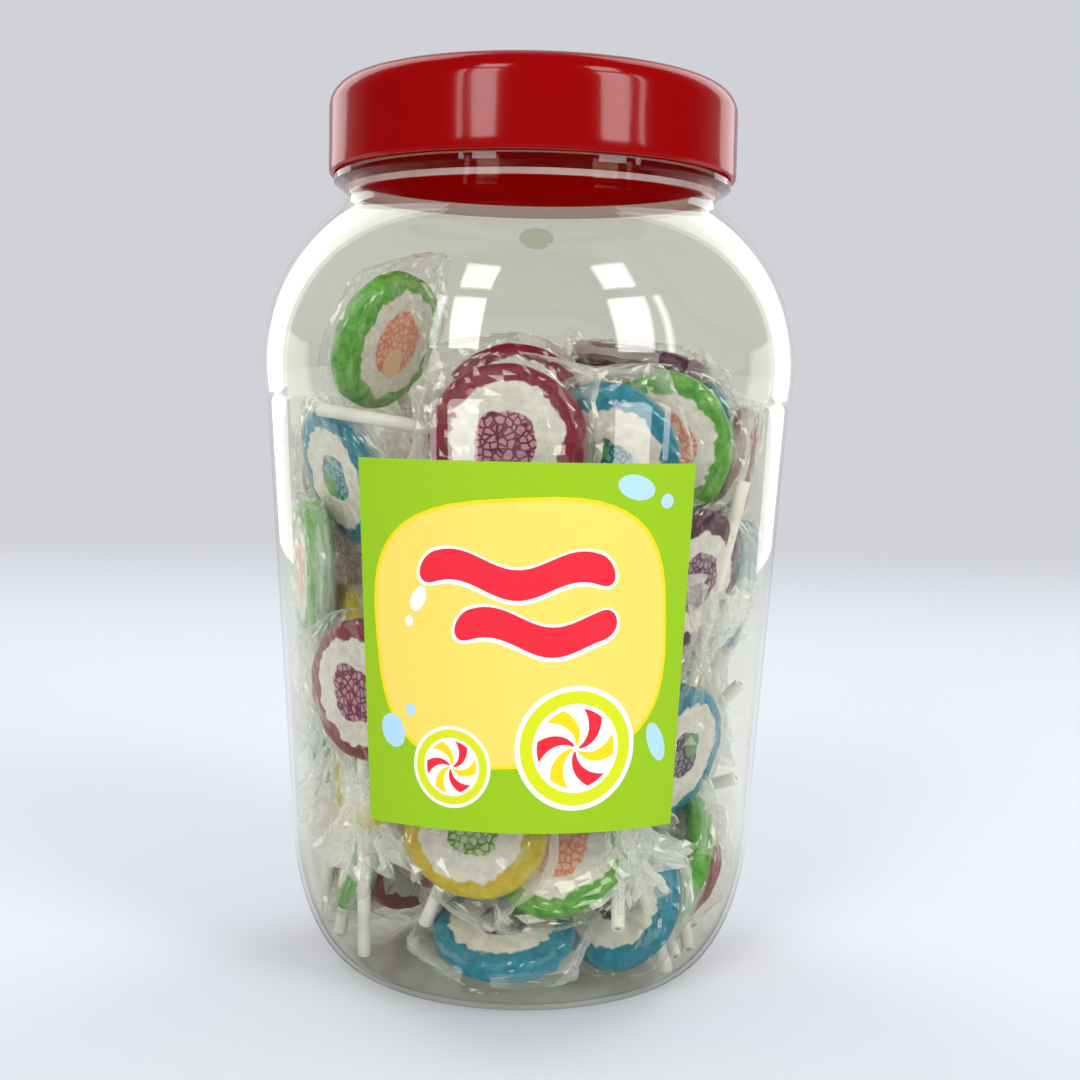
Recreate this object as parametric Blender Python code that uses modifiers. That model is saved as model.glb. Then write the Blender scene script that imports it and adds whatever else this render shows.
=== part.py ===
"""Clear plastic sweet jar, shut with a red screw lid and filled with wrapped picture-rock lollipops.

Metres, +Z up. The jar stands on Z = 0 with its axis on Z, and its label faces -Y.
"""

import math
import random

import bmesh
import bpy
import numpy as np

# Jar and lid
SIDES = 44
LID_TOP = 0.2470
LID_BOTTOM = 0.2222
LID_RADIUS = 0.0570
LID_EDGE_RADIUS = 0.0070
LID_SKIRT = 0.0014
LID_ROOF = 0.0018

NECK_RADIUS = 0.0527
NECK_TOP = 0.2430
COLLAR_RADIUS = 0.0556
COLLAR_TOP = 0.2218
COLLAR_BOTTOM = 0.2195
NECK_BOTTOM = 0.2165

DOME_CENTRE_R = 0.0196
DOME_CENTRE_Z = 0.1700
DOME_RADIUS = 0.0550
DOME_TOP_ANGLE = 50.0
DOME_BOTTOM_ANGLE = -9.0

BODY_TOP = 0.1590
BODY_TOP_RADIUS = 0.0734
GROOVE_Z = 0.1603
GROOVE_RADIUS = 0.0730
BODY_LOW = 0.0460
BODY_LOW_RADIUS = 0.0660
FOOT_RADIUS = 0.0455
RING_INNER_RADIUS = 0.0390
PUNT_RADIUS = 0.0340
PUNT_EDGE_RISE = 0.0020
PUNT_RISE = 0.0030

WALL = 0.0012
NECK_WALL = 0.0016
FLOOR = 0.0015

# Label
LABEL_HALF_ANGLE = 35.0
LABEL_BOTTOM = 0.0530
LABEL_TOP = 0.1455
LABEL_GAP = 0.0003
LABEL_THICKNESS = 0.0002

# Lollipops
CANDY_RADIUS = 0.0195
CANDY_THICKNESS = 0.0074
CANDY_WAVE = 0.035
STICK_RADIUS = 0.0018
STICK_TIP = 0.0760
STICK_ROOT = 0.0060
LOLLY_COUNT = 100
PLACING_SEED = 12
HEAP_CLEARANCE = 0.0011
CORE_INSET = 0.0210
CORE_TOP = 0.1400
CORE_BOTTOM = 0.0120
CORE_BEVEL = 0.0120
SHOWN_DEPTH = 0.0256
SHOWN_TOP = 0.1300

# The film bag's flared end, beyond the sweet: places along the stick, half widths across and through
FILM_RINGS = ((0.0150, 0.0100, 0.0036), (0.0245, 0.0030, 0.0030), (0.0420, 0.0098, 0.0072))

# The lollipops that show best, set by hand: colour, degrees round from the front (to the right is
# positive), height, inset of the centre from the wall, turn of the face away from the wall to the
# right and downwards, and the stick's direction, clockwise from up.
LEADERS = (
    ("crimson", -6, 0.1505, 0.0125, -4, 6, 180),
    ("teal", 23, 0.1460, 0.0210, -35, 16, 279),
    ("green", 47, 0.1500, 0.0250, -55, 4, 196),
    ("maroon", 84, 0.1720, 0.0420, -173, 80, 290),
    ("green", -49, 0.1755, 0.0250, 108, 20, 135),
    ("teal", -66, 0.1385, 0.0150, 10, 16, 205),
    ("crimson", -46, 0.0850, 0.0095, 2, 0, 187),
    ("yellow", -58, 0.0620, 0.0170, 10, -4, 320),
    ("maroon", 47, 0.1148, 0.0115, 0, 12, 188),
    ("teal", 60, 0.0640, 0.0140, -12, 8, 3),
    ("yellow", -12, 0.0478, 0.0145, -14, 4, 52),
    ("green", 14, 0.0440, 0.0240, -26, -24, 330),
    ("teal", -4, 0.0165, 0.0220, 0, -75, 15),
    ("teal", 40, 0.0270, 0.0200, -78, -20, 345),
    ("crimson", 84, 0.1405, 0.0120, 0, 6, 170),
    ("teal", 84, 0.1100, 0.0120, 10, 8, 160),
    ("green", 74, 0.0360, 0.0130, 16, 12, 95),
    ("crimson", -9, 0.1570, 0.0330, 16, -30, 200),
    ("green", 76, 0.0970, 0.0280, -10, 0, 8),
    ("yellow", 56, 0.0880, 0.0290, -20, 4, 198),
    ("maroon", 90, 0.1180, 0.0520, -90, 0, 336),
    ("crimson", -46, 0.0440, 0.0300, -42, 0, 60),
    ("yellow", -72, 0.0900, 0.0125, 10, 0, 195),
    ("green", -76, 0.1120, 0.0125, 6, 0, 190),
    ("teal", -94, 0.0640, 0.0125, -4, 4, 340),
    ("green", -72, 0.0360, 0.0150, -10, -14, 350),
)

COLOURS = ("crimson", "teal", "yellow", "green", "maroon")
RING_HEIGHTS = (0.019, 0.048, 0.076, 0.104, 0.131, 0.156)
WALL_RING_COUNT = 11
WALL_RING_INSET = 0.0100
INNER_RING_COUNT = 5
INNER_RING_RADIUS = 0.0280
FILL_SPREAD = 0.0420
FILL_HEIGHTS = (0.0800, 0.1620)
LEADERS_FRONT = 62.0
STICKS_UP_BELOW = 0.0900
BEHIND_LABEL_FROM = 0.0900
BEHIND_LABEL_TO = 0.1200
LEADER_ROOM = 0.0260
SETTLE_STEPS = 120
SETTLE_FALL = 0.00018
NEIGHBOUR_STEPS = 8
NEIGHBOUR_MARGIN = 0.0050
TUCK_STEPS = 40
LEADER_MOBILITY = 0.02
ROUNDING = 6

PLASTIC_CLEAR = (0.86, 0.88, 0.86, 1.0)
PLASTIC_RED = (0.42, 0.0, 0.008, 1.0)
PAPER_GREEN = (0.33, 0.60, 0.01, 1.0)
SUGAR_MIXED = (0.62, 0.45, 0.42, 1.0)


def arc(centre_r, centre_z, radius_r, radius_z, first, last, count):
    """Points of an elliptical arc in the profile plane, at even steps between two angles."""
    angles = [math.radians(first + (last - first) * i / (count - 1)) for i in range(count)]
    return [(centre_r + radius_r * math.cos(a), centre_z + radius_z * math.sin(a)) for a in angles]


def wall_radius(height, depth=0.0):
    """Radius of the jar's outer wall at a height, less a depth measured into the wall."""
    if height < BODY_LOW:
        share = min(1.0, (BODY_LOW - height) / (BODY_LOW - depth))
        return FOOT_RADIUS + (BODY_LOW_RADIUS - FOOT_RADIUS - depth) * math.sqrt(1 - share * share)
    if height < BODY_TOP:
        share = (height - BODY_LOW) / (BODY_TOP - BODY_LOW)
        return BODY_LOW_RADIUS + (BODY_TOP_RADIUS - BODY_LOW_RADIUS) * share - depth
    rise = min(height - DOME_CENTRE_Z, DOME_RADIUS - depth)
    return DOME_CENTRE_R + math.sqrt((DOME_RADIUS - depth) ** 2 - rise * rise)


def material(name, colour, roughness, transmission=0.0):
    made = bpy.data.materials.new(name)
    made.use_nodes = True
    shader = made.node_tree.nodes["Principled BSDF"]
    shader.inputs["Base Color"].default_value = colour
    shader.inputs["Roughness"].default_value = roughness
    shader.inputs["Transmission Weight"].default_value = transmission
    return made


def object_from(name, vertices, faces, collection, edges=()):
    mesh = bpy.data.meshes.new(name)
    mesh.from_pydata(vertices, edges, faces)
    made = bpy.data.objects.new(name, mesh)
    collection.objects.link(made)
    return made


def turned(name, profile, collection, sides=SIDES):
    """A closed solid turned about Z from a profile that ends on the axis and runs down its outer side."""
    made = object_from(
        name,
        [(r, 0.0, z) for r, z in profile],
        [],
        collection,
        [(i, i + 1) for i in range(len(profile) - 1)],
    )
    screw = made.modifiers.new("Turn", "SCREW")
    screw.steps = screw.render_steps = sides
    screw.use_merge_vertices = True
    screw.merge_threshold = 0.00001
    screw.use_smooth_shade = True
    return made


def jar_profile():
    """Up the inside from the floor to the rim, then down the outside to the middle of the base."""
    inside = [(0.0, PUNT_RISE + FLOOR), (PUNT_RADIUS, PUNT_EDGE_RISE + FLOOR), (RING_INNER_RADIUS, FLOOR)]
    inside += arc(
        FOOT_RADIUS, BODY_LOW, BODY_LOW_RADIUS - FOOT_RADIUS - WALL, BODY_LOW - FLOOR, -90, 0, 7
    )
    inside.append((BODY_TOP_RADIUS - WALL, BODY_TOP))
    inside += arc(
        DOME_CENTRE_R,
        DOME_CENTRE_Z,
        DOME_RADIUS - WALL,
        DOME_RADIUS - WALL,
        DOME_BOTTOM_ANGLE,
        DOME_TOP_ANGLE,
        6,
    )
    inside += [(NECK_RADIUS - NECK_WALL, NECK_BOTTOM), (NECK_RADIUS - NECK_WALL, NECK_TOP)]
    outside = [
        (NECK_RADIUS, NECK_TOP),
        (NECK_RADIUS, COLLAR_TOP),
        (COLLAR_RADIUS, COLLAR_TOP),
        (COLLAR_RADIUS, COLLAR_BOTTOM),
        (NECK_RADIUS + 0.0004, COLLAR_BOTTOM - 0.0014),
        (NECK_RADIUS, NECK_BOTTOM),
    ]
    outside += arc(
        DOME_CENTRE_R, DOME_CENTRE_Z, DOME_RADIUS, DOME_RADIUS, DOME_TOP_ANGLE, DOME_BOTTOM_ANGLE, 7
    )
    outside += [(GROOVE_RADIUS, GROOVE_Z), (BODY_TOP_RADIUS, BODY_TOP)]
    outside += arc(FOOT_RADIUS, BODY_LOW, BODY_LOW_RADIUS - FOOT_RADIUS, BODY_LOW, 0, -90, 7)
    outside += [(RING_INNER_RADIUS, 0.0), (PUNT_RADIUS, PUNT_EDGE_RISE), (0.0, PUNT_RISE)]
    return inside + outside


def lid_profile():
    """From the middle of the top over the rounded edge, down the skirt and back up its inside."""
    outside = [(0.0, LID_TOP)]
    outside += arc(
        LID_RADIUS - LID_EDGE_RADIUS,
        LID_TOP - LID_EDGE_RADIUS,
        LID_EDGE_RADIUS,
        LID_EDGE_RADIUS,
        90,
        0,
        5,
    )
    outside.append((LID_RADIUS, LID_BOTTOM))
    bore = LID_RADIUS - LID_SKIRT
    inner_edge = LID_EDGE_RADIUS - LID_SKIRT
    inside = [(bore, LID_BOTTOM)]
    inside += arc(bore - inner_edge, LID_TOP - LID_ROOF - inner_edge, inner_edge, inner_edge, 0, 90, 4)
    inside.append((0.0, LID_TOP - LID_ROOF))
    return outside + inside


def make_label(collection):
    """A thin sheet bent round the tapering wall, standing clear of it by its film of glue."""
    columns, rows = 18, 2
    vertices = []
    for row in range(rows + 1):
        height = LABEL_BOTTOM + (LABEL_TOP - LABEL_BOTTOM) * row / rows
        radius = wall_radius(height) + LABEL_GAP
        for column in range(columns + 1):
            angle = math.radians(LABEL_HALF_ANGLE * (2 * column / columns - 1))
            vertices.append((radius * math.sin(angle), -radius * math.cos(angle), height))
    faces = []
    for row in range(rows):
        for column in range(columns):
            first = row * (columns + 1) + column
            faces.append((first, first + 1, first + columns + 2, first + columns + 1))
    label = object_from("label", vertices, faces, collection)
    skin = label.modifiers.new("Paper", "SOLIDIFY")
    skin.thickness = LABEL_THICKNESS
    skin.offset = 1.0
    return label


def turn(axis, degrees):
    """Rotation matrix about a unit axis."""
    a = math.radians(degrees)
    x, y, z = axis
    c, s, t = math.cos(a), math.sin(a), 1 - math.cos(a)
    return np.array(
        [
            [t * x * x + c, t * x * y - s * z, t * x * z + s * y],
            [t * x * y + s * z, t * y * y + c, t * y * z - s * x],
            [t * x * z - s * y, t * y * z + s * x, t * z * z + c],
        ]
    )


def facing(azimuth, radius, height, yaw, pitch, spin):
    """Centre and axes (side, stick, face) of a lollipop that looks out of the jar at an azimuth."""
    a = math.radians(azimuth)
    outward = np.array([math.sin(a), -math.cos(a), 0.0])
    up = np.array([0.0, 0.0, 1.0])
    across = np.cross(up, outward)
    swing = turn(up, yaw) @ turn(across, pitch) @ turn(outward, -spin)
    axes = np.column_stack([swing @ across, swing @ up, swing @ outward])
    return outward * radius + up * height, axes


def resting_turns(draw, azimuth, height):
    """Yaw, pitch and spin of a lollipop at the wall: most stand with the face to the wall."""
    from_front = (azimuth + 180) % 360 - 180
    lean = draw.gauss(0, 1)
    if abs(from_front) < LABEL_HALF_ANGLE + 5 and BEHIND_LABEL_FROM < height < BEHIND_LABEL_TO:
        downward = height > STICKS_UP_BELOW
        return 8 * lean, 14 if downward else -14, (180 if downward else 0) + draw.gauss(0, 10)
    upward = height < STICKS_UP_BELOW and draw.random() < 0.5
    spin = (0 if upward else 180) + 34 * lean
    if draw.random() < 0.72:
        return draw.gauss(0, 14), draw.gauss(0, 12), spin
    return draw.uniform(40, 140), draw.uniform(-60, 60), spin


def starting_places():
    """Colour, centre, axes and mobility of every lollipop before the heap settles."""
    draw = random.Random(PLACING_SEED)
    places = []
    for colour, azimuth, height, inset, yaw, pitch, spin in LEADERS:
        radius = wall_radius(height) - inset
        centre, axes = facing(azimuth, radius, height, yaw, pitch, spin)
        places.append((colour, centre, axes, LEADER_MOBILITY))
    rest = []
    for level, height in enumerate(RING_HEIGHTS):
        for step in range(WALL_RING_COUNT):
            azimuth = (step + 0.5 * (level % 2) + draw.uniform(-0.2, 0.2)) * 360 / WALL_RING_COUNT
            from_front = abs((azimuth + 180) % 360 - 180)
            if from_front < LEADERS_FRONT and not BEHIND_LABEL_FROM < height < BEHIND_LABEL_TO:
                continue
            radius = wall_radius(height) - WALL_RING_INSET
            rest.append(facing(azimuth, radius, height, *resting_turns(draw, azimuth, height)))
        for step in range(INNER_RING_COUNT):
            azimuth = (step + draw.random()) * 360 / INNER_RING_COUNT
            yaw, pitch = draw.uniform(-180, 180), draw.uniform(-50, 50)
            spin = draw.gauss(180, 34) - (180 if height < STICKS_UP_BELOW and step % 2 else 0)
            rest.append(facing(azimuth, INNER_RING_RADIUS, height, yaw, pitch, spin))
    leader_centres = [place[1] for place in places]
    clear = [
        r for r in rest if min(np.linalg.norm(r[0] - c) for c in leader_centres) > LEADER_ROOM
    ]
    while len(clear) + len(places) < LOLLY_COUNT:
        azimuth, radius = draw.uniform(0, 360), draw.uniform(0, FILL_SPREAD)
        yaw, pitch, spin = draw.uniform(-180, 180), draw.uniform(-50, 50), draw.gauss(180, 34)
        clear.append(facing(azimuth, radius, draw.uniform(*FILL_HEIGHTS), yaw, pitch, spin))
    for number, (centre, axes) in enumerate(clear[: LOLLY_COUNT - len(places)]):
        places.append((COLOURS[(number * 3 + number // 7) % len(COLOURS)], centre, axes, 1.0))
    return places


def touch_points():
    """Balls that stand for one lollipop while it settles: offsets along its axes, and radii."""
    offsets, radii = [(0.0, 0.0, 0.0)], [0.0042]
    for ring, count in ((0.0090, 6), (0.0165, 11)):
        for i in range(count):
            a = 2 * math.pi * i / count
            offsets.append((ring * math.cos(a), ring * math.sin(a), 0.0))
            radii.append(0.0042)
    for share in (0.12, 0.37, 0.62, 0.87, 1.0):
        offsets.append((0.0, CANDY_RADIUS + (STICK_TIP - CANDY_RADIUS) * share, 0.0))
        radii.append(0.0022)
    return np.array(offsets), np.array(radii)


def cross_rows(a, b):
    return np.stack(
        [
            a[:, 1] * b[:, 2] - a[:, 2] * b[:, 1],
            a[:, 2] * b[:, 0] - a[:, 0] * b[:, 2],
            a[:, 0] * b[:, 1] - a[:, 1] * b[:, 0],
        ],
        axis=1,
    )


def wall_pushes(points, radii):
    """How far each ball has to move to be back inside the jar's wall and above its floor."""
    push = np.zeros_like(points)
    for i, (x, y, z) in enumerate(points):
        room = wall_radius(max(z, 0.004), WALL) - radii[i] - HEAP_CLEARANCE
        reach = math.hypot(x, y)
        if reach > room:
            push[i, 0] = x * (room / reach - 1)
            push[i, 1] = y * (room / reach - 1)
        lift = PUNT_RISE + FLOOR + radii[i] + HEAP_CLEARANCE - z
        if lift > 0:
            push[i, 2] = lift
    return push


def tucked_in(centre, axes):
    """The centre moved until the whole rim and the stick's tip are clear of the wall and floor."""
    around = [2 * math.pi * i / 24 for i in range(24)]
    half = CANDY_THICKNESS / 2
    rim = CANDY_RADIUS * (1 + CANDY_WAVE)
    marks = [(rim * math.cos(a), rim * math.sin(a), side * half) for a in around for side in (-1, 1)]
    marks += [(side * STICK_RADIUS, STICK_TIP, 0.0) for side in (-1, 1)]
    arms = (axes @ np.array(marks).T).T
    for _ in range(TUCK_STEPS):
        push = wall_pushes(centre + arms, np.zeros(len(arms)))
        size = (push**2).sum(1)
        if size.max() < 1e-12:
            break
        centre = np.round(centre + push[size.argmax()] * 1.02, 7)
    return centre


def settle(places):
    """Pushes overlapping lollipops apart and lets them sink a little, keeping the leaders in place."""
    offsets, radii = touch_points()
    count, each = len(places), len(offsets)
    centres = np.array([p[1] for p in places])
    axes = np.array([p[2] for p in places])
    mobility = np.array([p[3] for p in places])
    owner = np.repeat(np.arange(count), each)
    reach = np.tile(radii, count)
    gap = reach[:, None] + reach[None, :]
    strangers = np.triu(owner[:, None] != owner[None, :])
    for step in range(SETTLE_STEPS):
        arms = np.stack([(axes[:, k, None, :] * offsets[None]).sum(-1) for k in range(3)], -1)
        arms = arms.reshape(-1, 3)
        points = centres[owner] + arms
        if step % NEIGHBOUR_STEPS == 0:
            distance2 = sum((points[:, None, k] - points[None, :, k]) ** 2 for k in range(3))
            near = np.nonzero((distance2 < (gap + NEIGHBOUR_MARGIN) ** 2) & strangers)
        line = points[near[0]] - points[near[1]]
        distance = np.sqrt((line**2).sum(1))
        close = distance < gap[near]
        a, b = near[0][close], near[1][close]
        line, distance = line[close], np.maximum(distance[close], 1e-6)[:, None]
        share = (mobility[owner[a]] / (mobility[owner[a]] + mobility[owner[b]]))[:, None]
        overlap = line / distance * (gap[a, b][:, None] - distance)
        walls = wall_pushes(points, reach)
        hit = np.nonzero(np.abs(walls).sum(1))[0]
        push = np.concatenate([overlap * share, -overlap * (1 - share), walls[hit]])
        at = np.concatenate([a, b, hit])
        who = owner[at]
        moved, turned_by = np.zeros((count, 3)), np.zeros((count, 3))
        touches, inertia = np.zeros(count), np.full(count, 1e-9)
        np.add.at(moved, who, push)
        np.add.at(turned_by, who, cross_rows(arms[at], push))
        np.add.at(touches, who, 1.0)
        np.add.at(inertia, who, (arms[at] ** 2).sum(1))
        moved /= np.maximum(touches, 1)[:, None]
        moved[:, 2] -= SETTLE_FALL * (mobility == 1.0)
        centres = np.round(centres + moved * 1.3, ROUNDING)
        for i in np.nonzero(touches)[0]:
            spin = turned_by[i] / inertia[i]
            angle = float(np.sqrt((spin**2).sum()))
            if angle > 1e-7:
                axes[i] = np.round(turn(spin / angle, math.degrees(min(angle, 0.2))) @ axes[i], 9)
    return [(places[i][0], tucked_in(centres[i], axes[i]), axes[i]) for i in range(count)]


def candy(name, centre, axes, draw, collection):
    """One uneven slice of rock: a flat puck with rounded edges and a slightly wavy outline."""
    sides = 12
    phase = draw.uniform(0, 2 * math.pi)
    rings = ((0.88, 0.5), (1.0, 0.0), (0.88, -0.5))
    bm = bmesh.new()
    loops = []
    for share, level in rings:
        loop = []
        for i in range(sides):
            a = 2 * math.pi * i / sides
            radius = share * CANDY_RADIUS * (1 + CANDY_WAVE * math.sin(2 * a + phase))
            local = np.array([radius * math.cos(a), radius * math.sin(a), level * CANDY_THICKNESS])
            loop.append(bm.verts.new(centre + axes @ local))
        loops.append(loop)
    for upper, lower in zip(loops, loops[1:]):
        for i in range(sides):
            j = (i + 1) % sides
            bm.faces.new((upper[i], lower[i], lower[j], upper[j]))
    bm.faces.new(loops[0])
    bm.faces.new(list(reversed(loops[-1])))
    return finished(name, bm, collection)


def stick(name, centre, axes, collection):
    """The straight paper stick, from inside the sweet to its tip."""
    sides = 6
    bm = bmesh.new()
    loops = []
    for along in (STICK_TIP, STICK_ROOT):
        loop = []
        for i in range(sides):
            a = 2 * math.pi * i / sides
            local = np.array([STICK_RADIUS * math.cos(a), along, -STICK_RADIUS * math.sin(a)])
            loop.append(bm.verts.new(centre + axes @ local))
        loops.append(loop)
    for i in range(sides):
        j = (i + 1) % sides
        bm.faces.new((loops[0][i], loops[1][i], loops[1][j], loops[0][j]))
    bm.faces.new(loops[0])
    bm.faces.new(list(reversed(loops[1])))
    return finished(name, bm, collection)


def film_end(name, centre, axes, collection):
    """The film bag where it leaves the sweet: gathered at the stick, then flared."""
    sides = 6
    bm = bmesh.new()
    loops = []
    for along, across, through in FILM_RINGS:
        loop = []
        for i in range(sides):
            a = 2 * math.pi * i / sides
            local = np.array([across * math.cos(a), along, -through * math.sin(a)])
            loop.append(bm.verts.new(kept_inside(centre + axes @ local)))
        loops.append(loop)
    for lower, upper in zip(loops, loops[1:]):
        for i in range(sides):
            j = (i + 1) % sides
            bm.faces.new((lower[i], lower[j], upper[j], upper[i]))
    bm.faces.new(loops[0])
    bm.faces.new(list(reversed(loops[-1])))
    return finished(name, bm, collection)


def kept_inside(point):
    """The point moved in from the wall and up from the floor, if it is too close to them."""
    x, y, z = point
    z = max(z, PUNT_RISE + FLOOR + HEAP_CLEARANCE)
    room = wall_radius(z, WALL) - HEAP_CLEARANCE
    share = min(1.0, room / math.hypot(x, y))
    return x * share, y * share, z


def finished(name, bm, collection):
    bmesh.ops.recalc_face_normals(bm, faces=bm.faces)
    mesh = bpy.data.meshes.new(name)
    bm.to_mesh(mesh)
    bm.free()
    made = bpy.data.objects.new(name, mesh)
    collection.objects.link(made)
    return made


def shows(centre):
    """True for a lollipop that can be seen through the wall or on top of the heap."""
    x, y, height = centre
    return wall_radius(height) - math.hypot(x, y) < SHOWN_DEPTH or height > SHOWN_TOP


def make_core(collection):
    """The hidden middle of the heap, which the lollipops that show are joined to."""
    heights = [CORE_BOTTOM, 0.030, 0.050, 0.100, CORE_TOP - CORE_BEVEL, CORE_TOP]
    radii = [wall_radius(h) - CORE_INSET for h in heights]
    radii[-1] -= CORE_BEVEL
    profile = [(0.0, CORE_TOP)] + list(zip(radii[::-1], heights[::-1])) + [(0.0, CORE_BOTTOM)]
    return turned("lollipops", profile, collection, 20)


def largest_body(obj):
    """Drops loose scraps that the union left unjoined."""
    bm = bmesh.new()
    bm.from_mesh(obj.data)
    bmesh.ops.remove_doubles(bm, verts=bm.verts, dist=0.000002)
    waiting, bodies = set(bm.faces), []
    while waiting:
        body, edge = set(), [waiting.pop()]
        while edge:
            face = edge.pop()
            body.add(face)
            for side in face.edges:
                for other in side.link_faces:
                    if other in waiting:
                        waiting.discard(other)
                        edge.append(other)
        bodies.append(body)
    bodies.sort(key=len)
    scraps = [face for body in bodies[:-1] for face in body]
    bmesh.ops.delete(bm, geom=scraps, context="FACES")
    bm.to_mesh(obj.data)
    bm.free()


def make_heap(collection):
    """The heap as one solid: core, sweets and sticks joined by a single union."""
    pieces = bpy.data.collections.new("heap_pieces")
    bpy.context.scene.collection.children.link(pieces)
    heap = make_core(collection)
    draw = random.Random(7)
    for number, (_, centre, axes) in enumerate(settle(starting_places())):
        if shows(centre):
            candy(f"sweet_{number}", centre, axes, draw, pieces)
            stick(f"stick_{number}", centre, axes, pieces)
            film_end(f"film_{number}", centre, axes, pieces)
    union = heap.modifiers.new("Heap", "BOOLEAN")
    union.operation = "UNION"
    union.operand_type = "COLLECTION"
    union.collection = pieces
    union.solver = "MANIFOLD"
    graph = bpy.context.evaluated_depsgraph_get()
    joined = bpy.data.meshes.new_from_object(heap.evaluated_get(graph))
    heap.modifiers.clear()
    heap.data = joined
    for piece in list(pieces.objects):
        bpy.data.objects.remove(piece)
    bpy.data.collections.remove(pieces)
    largest_body(heap)
    return heap


def main():
    for old in list(bpy.data.objects):
        bpy.data.objects.remove(old)
    parts = bpy.data.collections.new("lollipop_jar")
    bpy.context.scene.collection.children.link(parts)
    jar = turned("jar", jar_profile(), parts)
    jar.data.materials.append(material("clear PET", PLASTIC_CLEAR, 0.05, 1.0))
    lid = turned("lid", lid_profile(), parts)
    lid.data.materials.append(material("red polypropylene", PLASTIC_RED, 0.2))
    label = make_label(parts)
    label.data.materials.append(material("printed paper", PAPER_GREEN, 0.4))
    heap = make_heap(parts)
    heap.data.materials.append(material("boiled sugar", SUGAR_MIXED, 0.25))


main()
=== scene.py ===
"""Looks of the jar of rock lollipops: clear plastic, red lid, printed label, sweets, sticks and film."""

import math
import random

import bpy
import numpy as np
from mathutils import Matrix, Vector, noise
from mathutils.geometry import delaunay_2d_cdt


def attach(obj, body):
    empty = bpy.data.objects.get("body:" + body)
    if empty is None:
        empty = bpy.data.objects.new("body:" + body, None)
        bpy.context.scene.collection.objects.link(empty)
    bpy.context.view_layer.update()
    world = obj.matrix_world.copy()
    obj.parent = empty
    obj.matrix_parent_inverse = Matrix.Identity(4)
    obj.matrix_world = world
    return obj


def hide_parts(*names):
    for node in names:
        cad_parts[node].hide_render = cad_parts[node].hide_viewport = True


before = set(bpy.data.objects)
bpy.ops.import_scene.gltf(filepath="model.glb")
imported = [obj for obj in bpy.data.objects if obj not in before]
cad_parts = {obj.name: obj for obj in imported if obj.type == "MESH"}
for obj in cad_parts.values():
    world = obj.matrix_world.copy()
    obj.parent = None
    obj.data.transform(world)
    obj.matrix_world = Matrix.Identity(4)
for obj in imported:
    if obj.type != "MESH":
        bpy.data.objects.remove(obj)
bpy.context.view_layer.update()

MM = 0.001

# Jar and lid in metres, as in the solids but for the number of sides
LID_TOP = 0.2470
LID_BOTTOM = 0.2222
LID_RADIUS = 0.0570
LID_EDGE_RADIUS = 0.0070
LID_SKIRT = 0.0014
LID_ROOF = 0.0018
NECK_RADIUS = 0.0527
NECK_TOP = 0.2430
COLLAR_RADIUS = 0.0556
COLLAR_TOP = 0.2218
COLLAR_BOTTOM = 0.2195
NECK_BOTTOM = 0.2165
DOME_CENTRE_R = 0.0196
DOME_CENTRE_Z = 0.1700
DOME_RADIUS = 0.0550
DOME_TOP_ANGLE = 50.0
DOME_BOTTOM_ANGLE = -9.0
BODY_TOP = 0.1590
BODY_TOP_RADIUS = 0.0734
GROOVE_Z = 0.1603
GROOVE_RADIUS = 0.0730
BODY_LOW = 0.0460
BODY_LOW_RADIUS = 0.0660
FOOT_RADIUS = 0.0455
RING_INNER_RADIUS = 0.0390
PUNT_RADIUS = 0.0340
PUNT_EDGE_RISE = 0.0020
PUNT_RISE = 0.0030
WALL = 0.0012
NECK_WALL = 0.0016
FLOOR = 0.0015
COLLAR_FOOT = 0.0014
SKIRT_FLAT = 0.0042
TURNED_SIDES = 216

# Gate mark on the dome: its size and place, and its rings as shares of the oval with their lifts
GATE_WIDTH = 0.0078
GATE_HEIGHT = 0.0060
GATE_AZIMUTH = 1.0
GATE_RISE = 32.0
GATE_SIDES = 48
GATE_ROWS = (
    (0.30, 0.00024),
    (0.80, 0.00022),
    (0.90, 0.00032),
    (1.00, 0.00024),
    (1.06, 0.00002),
    (0.90, -0.00010),
    (0.30, -0.00010),
)

# Label, as in the solids
LABEL_HALF_ANGLE = 35.0
LABEL_BOTTOM = 0.0530
LABEL_TOP = 0.1455
LABEL_GAP = 0.0003
LABEL_THICKNESS = 0.0002

# Lollipops, as in the solids
CANDY_RADIUS = 0.0195
CANDY_THICKNESS = 0.0074
CANDY_WAVE = 0.035
STICK_RADIUS = 0.0018
STICK_TIP = 0.0760
STICK_ROOT = 0.0060
LOLLY_COUNT = 100
PLACING_SEED = 12
HEAP_CLEARANCE = 0.0011
SHOWN_DEPTH = 0.0256
SHOWN_TOP = 0.1300

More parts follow.
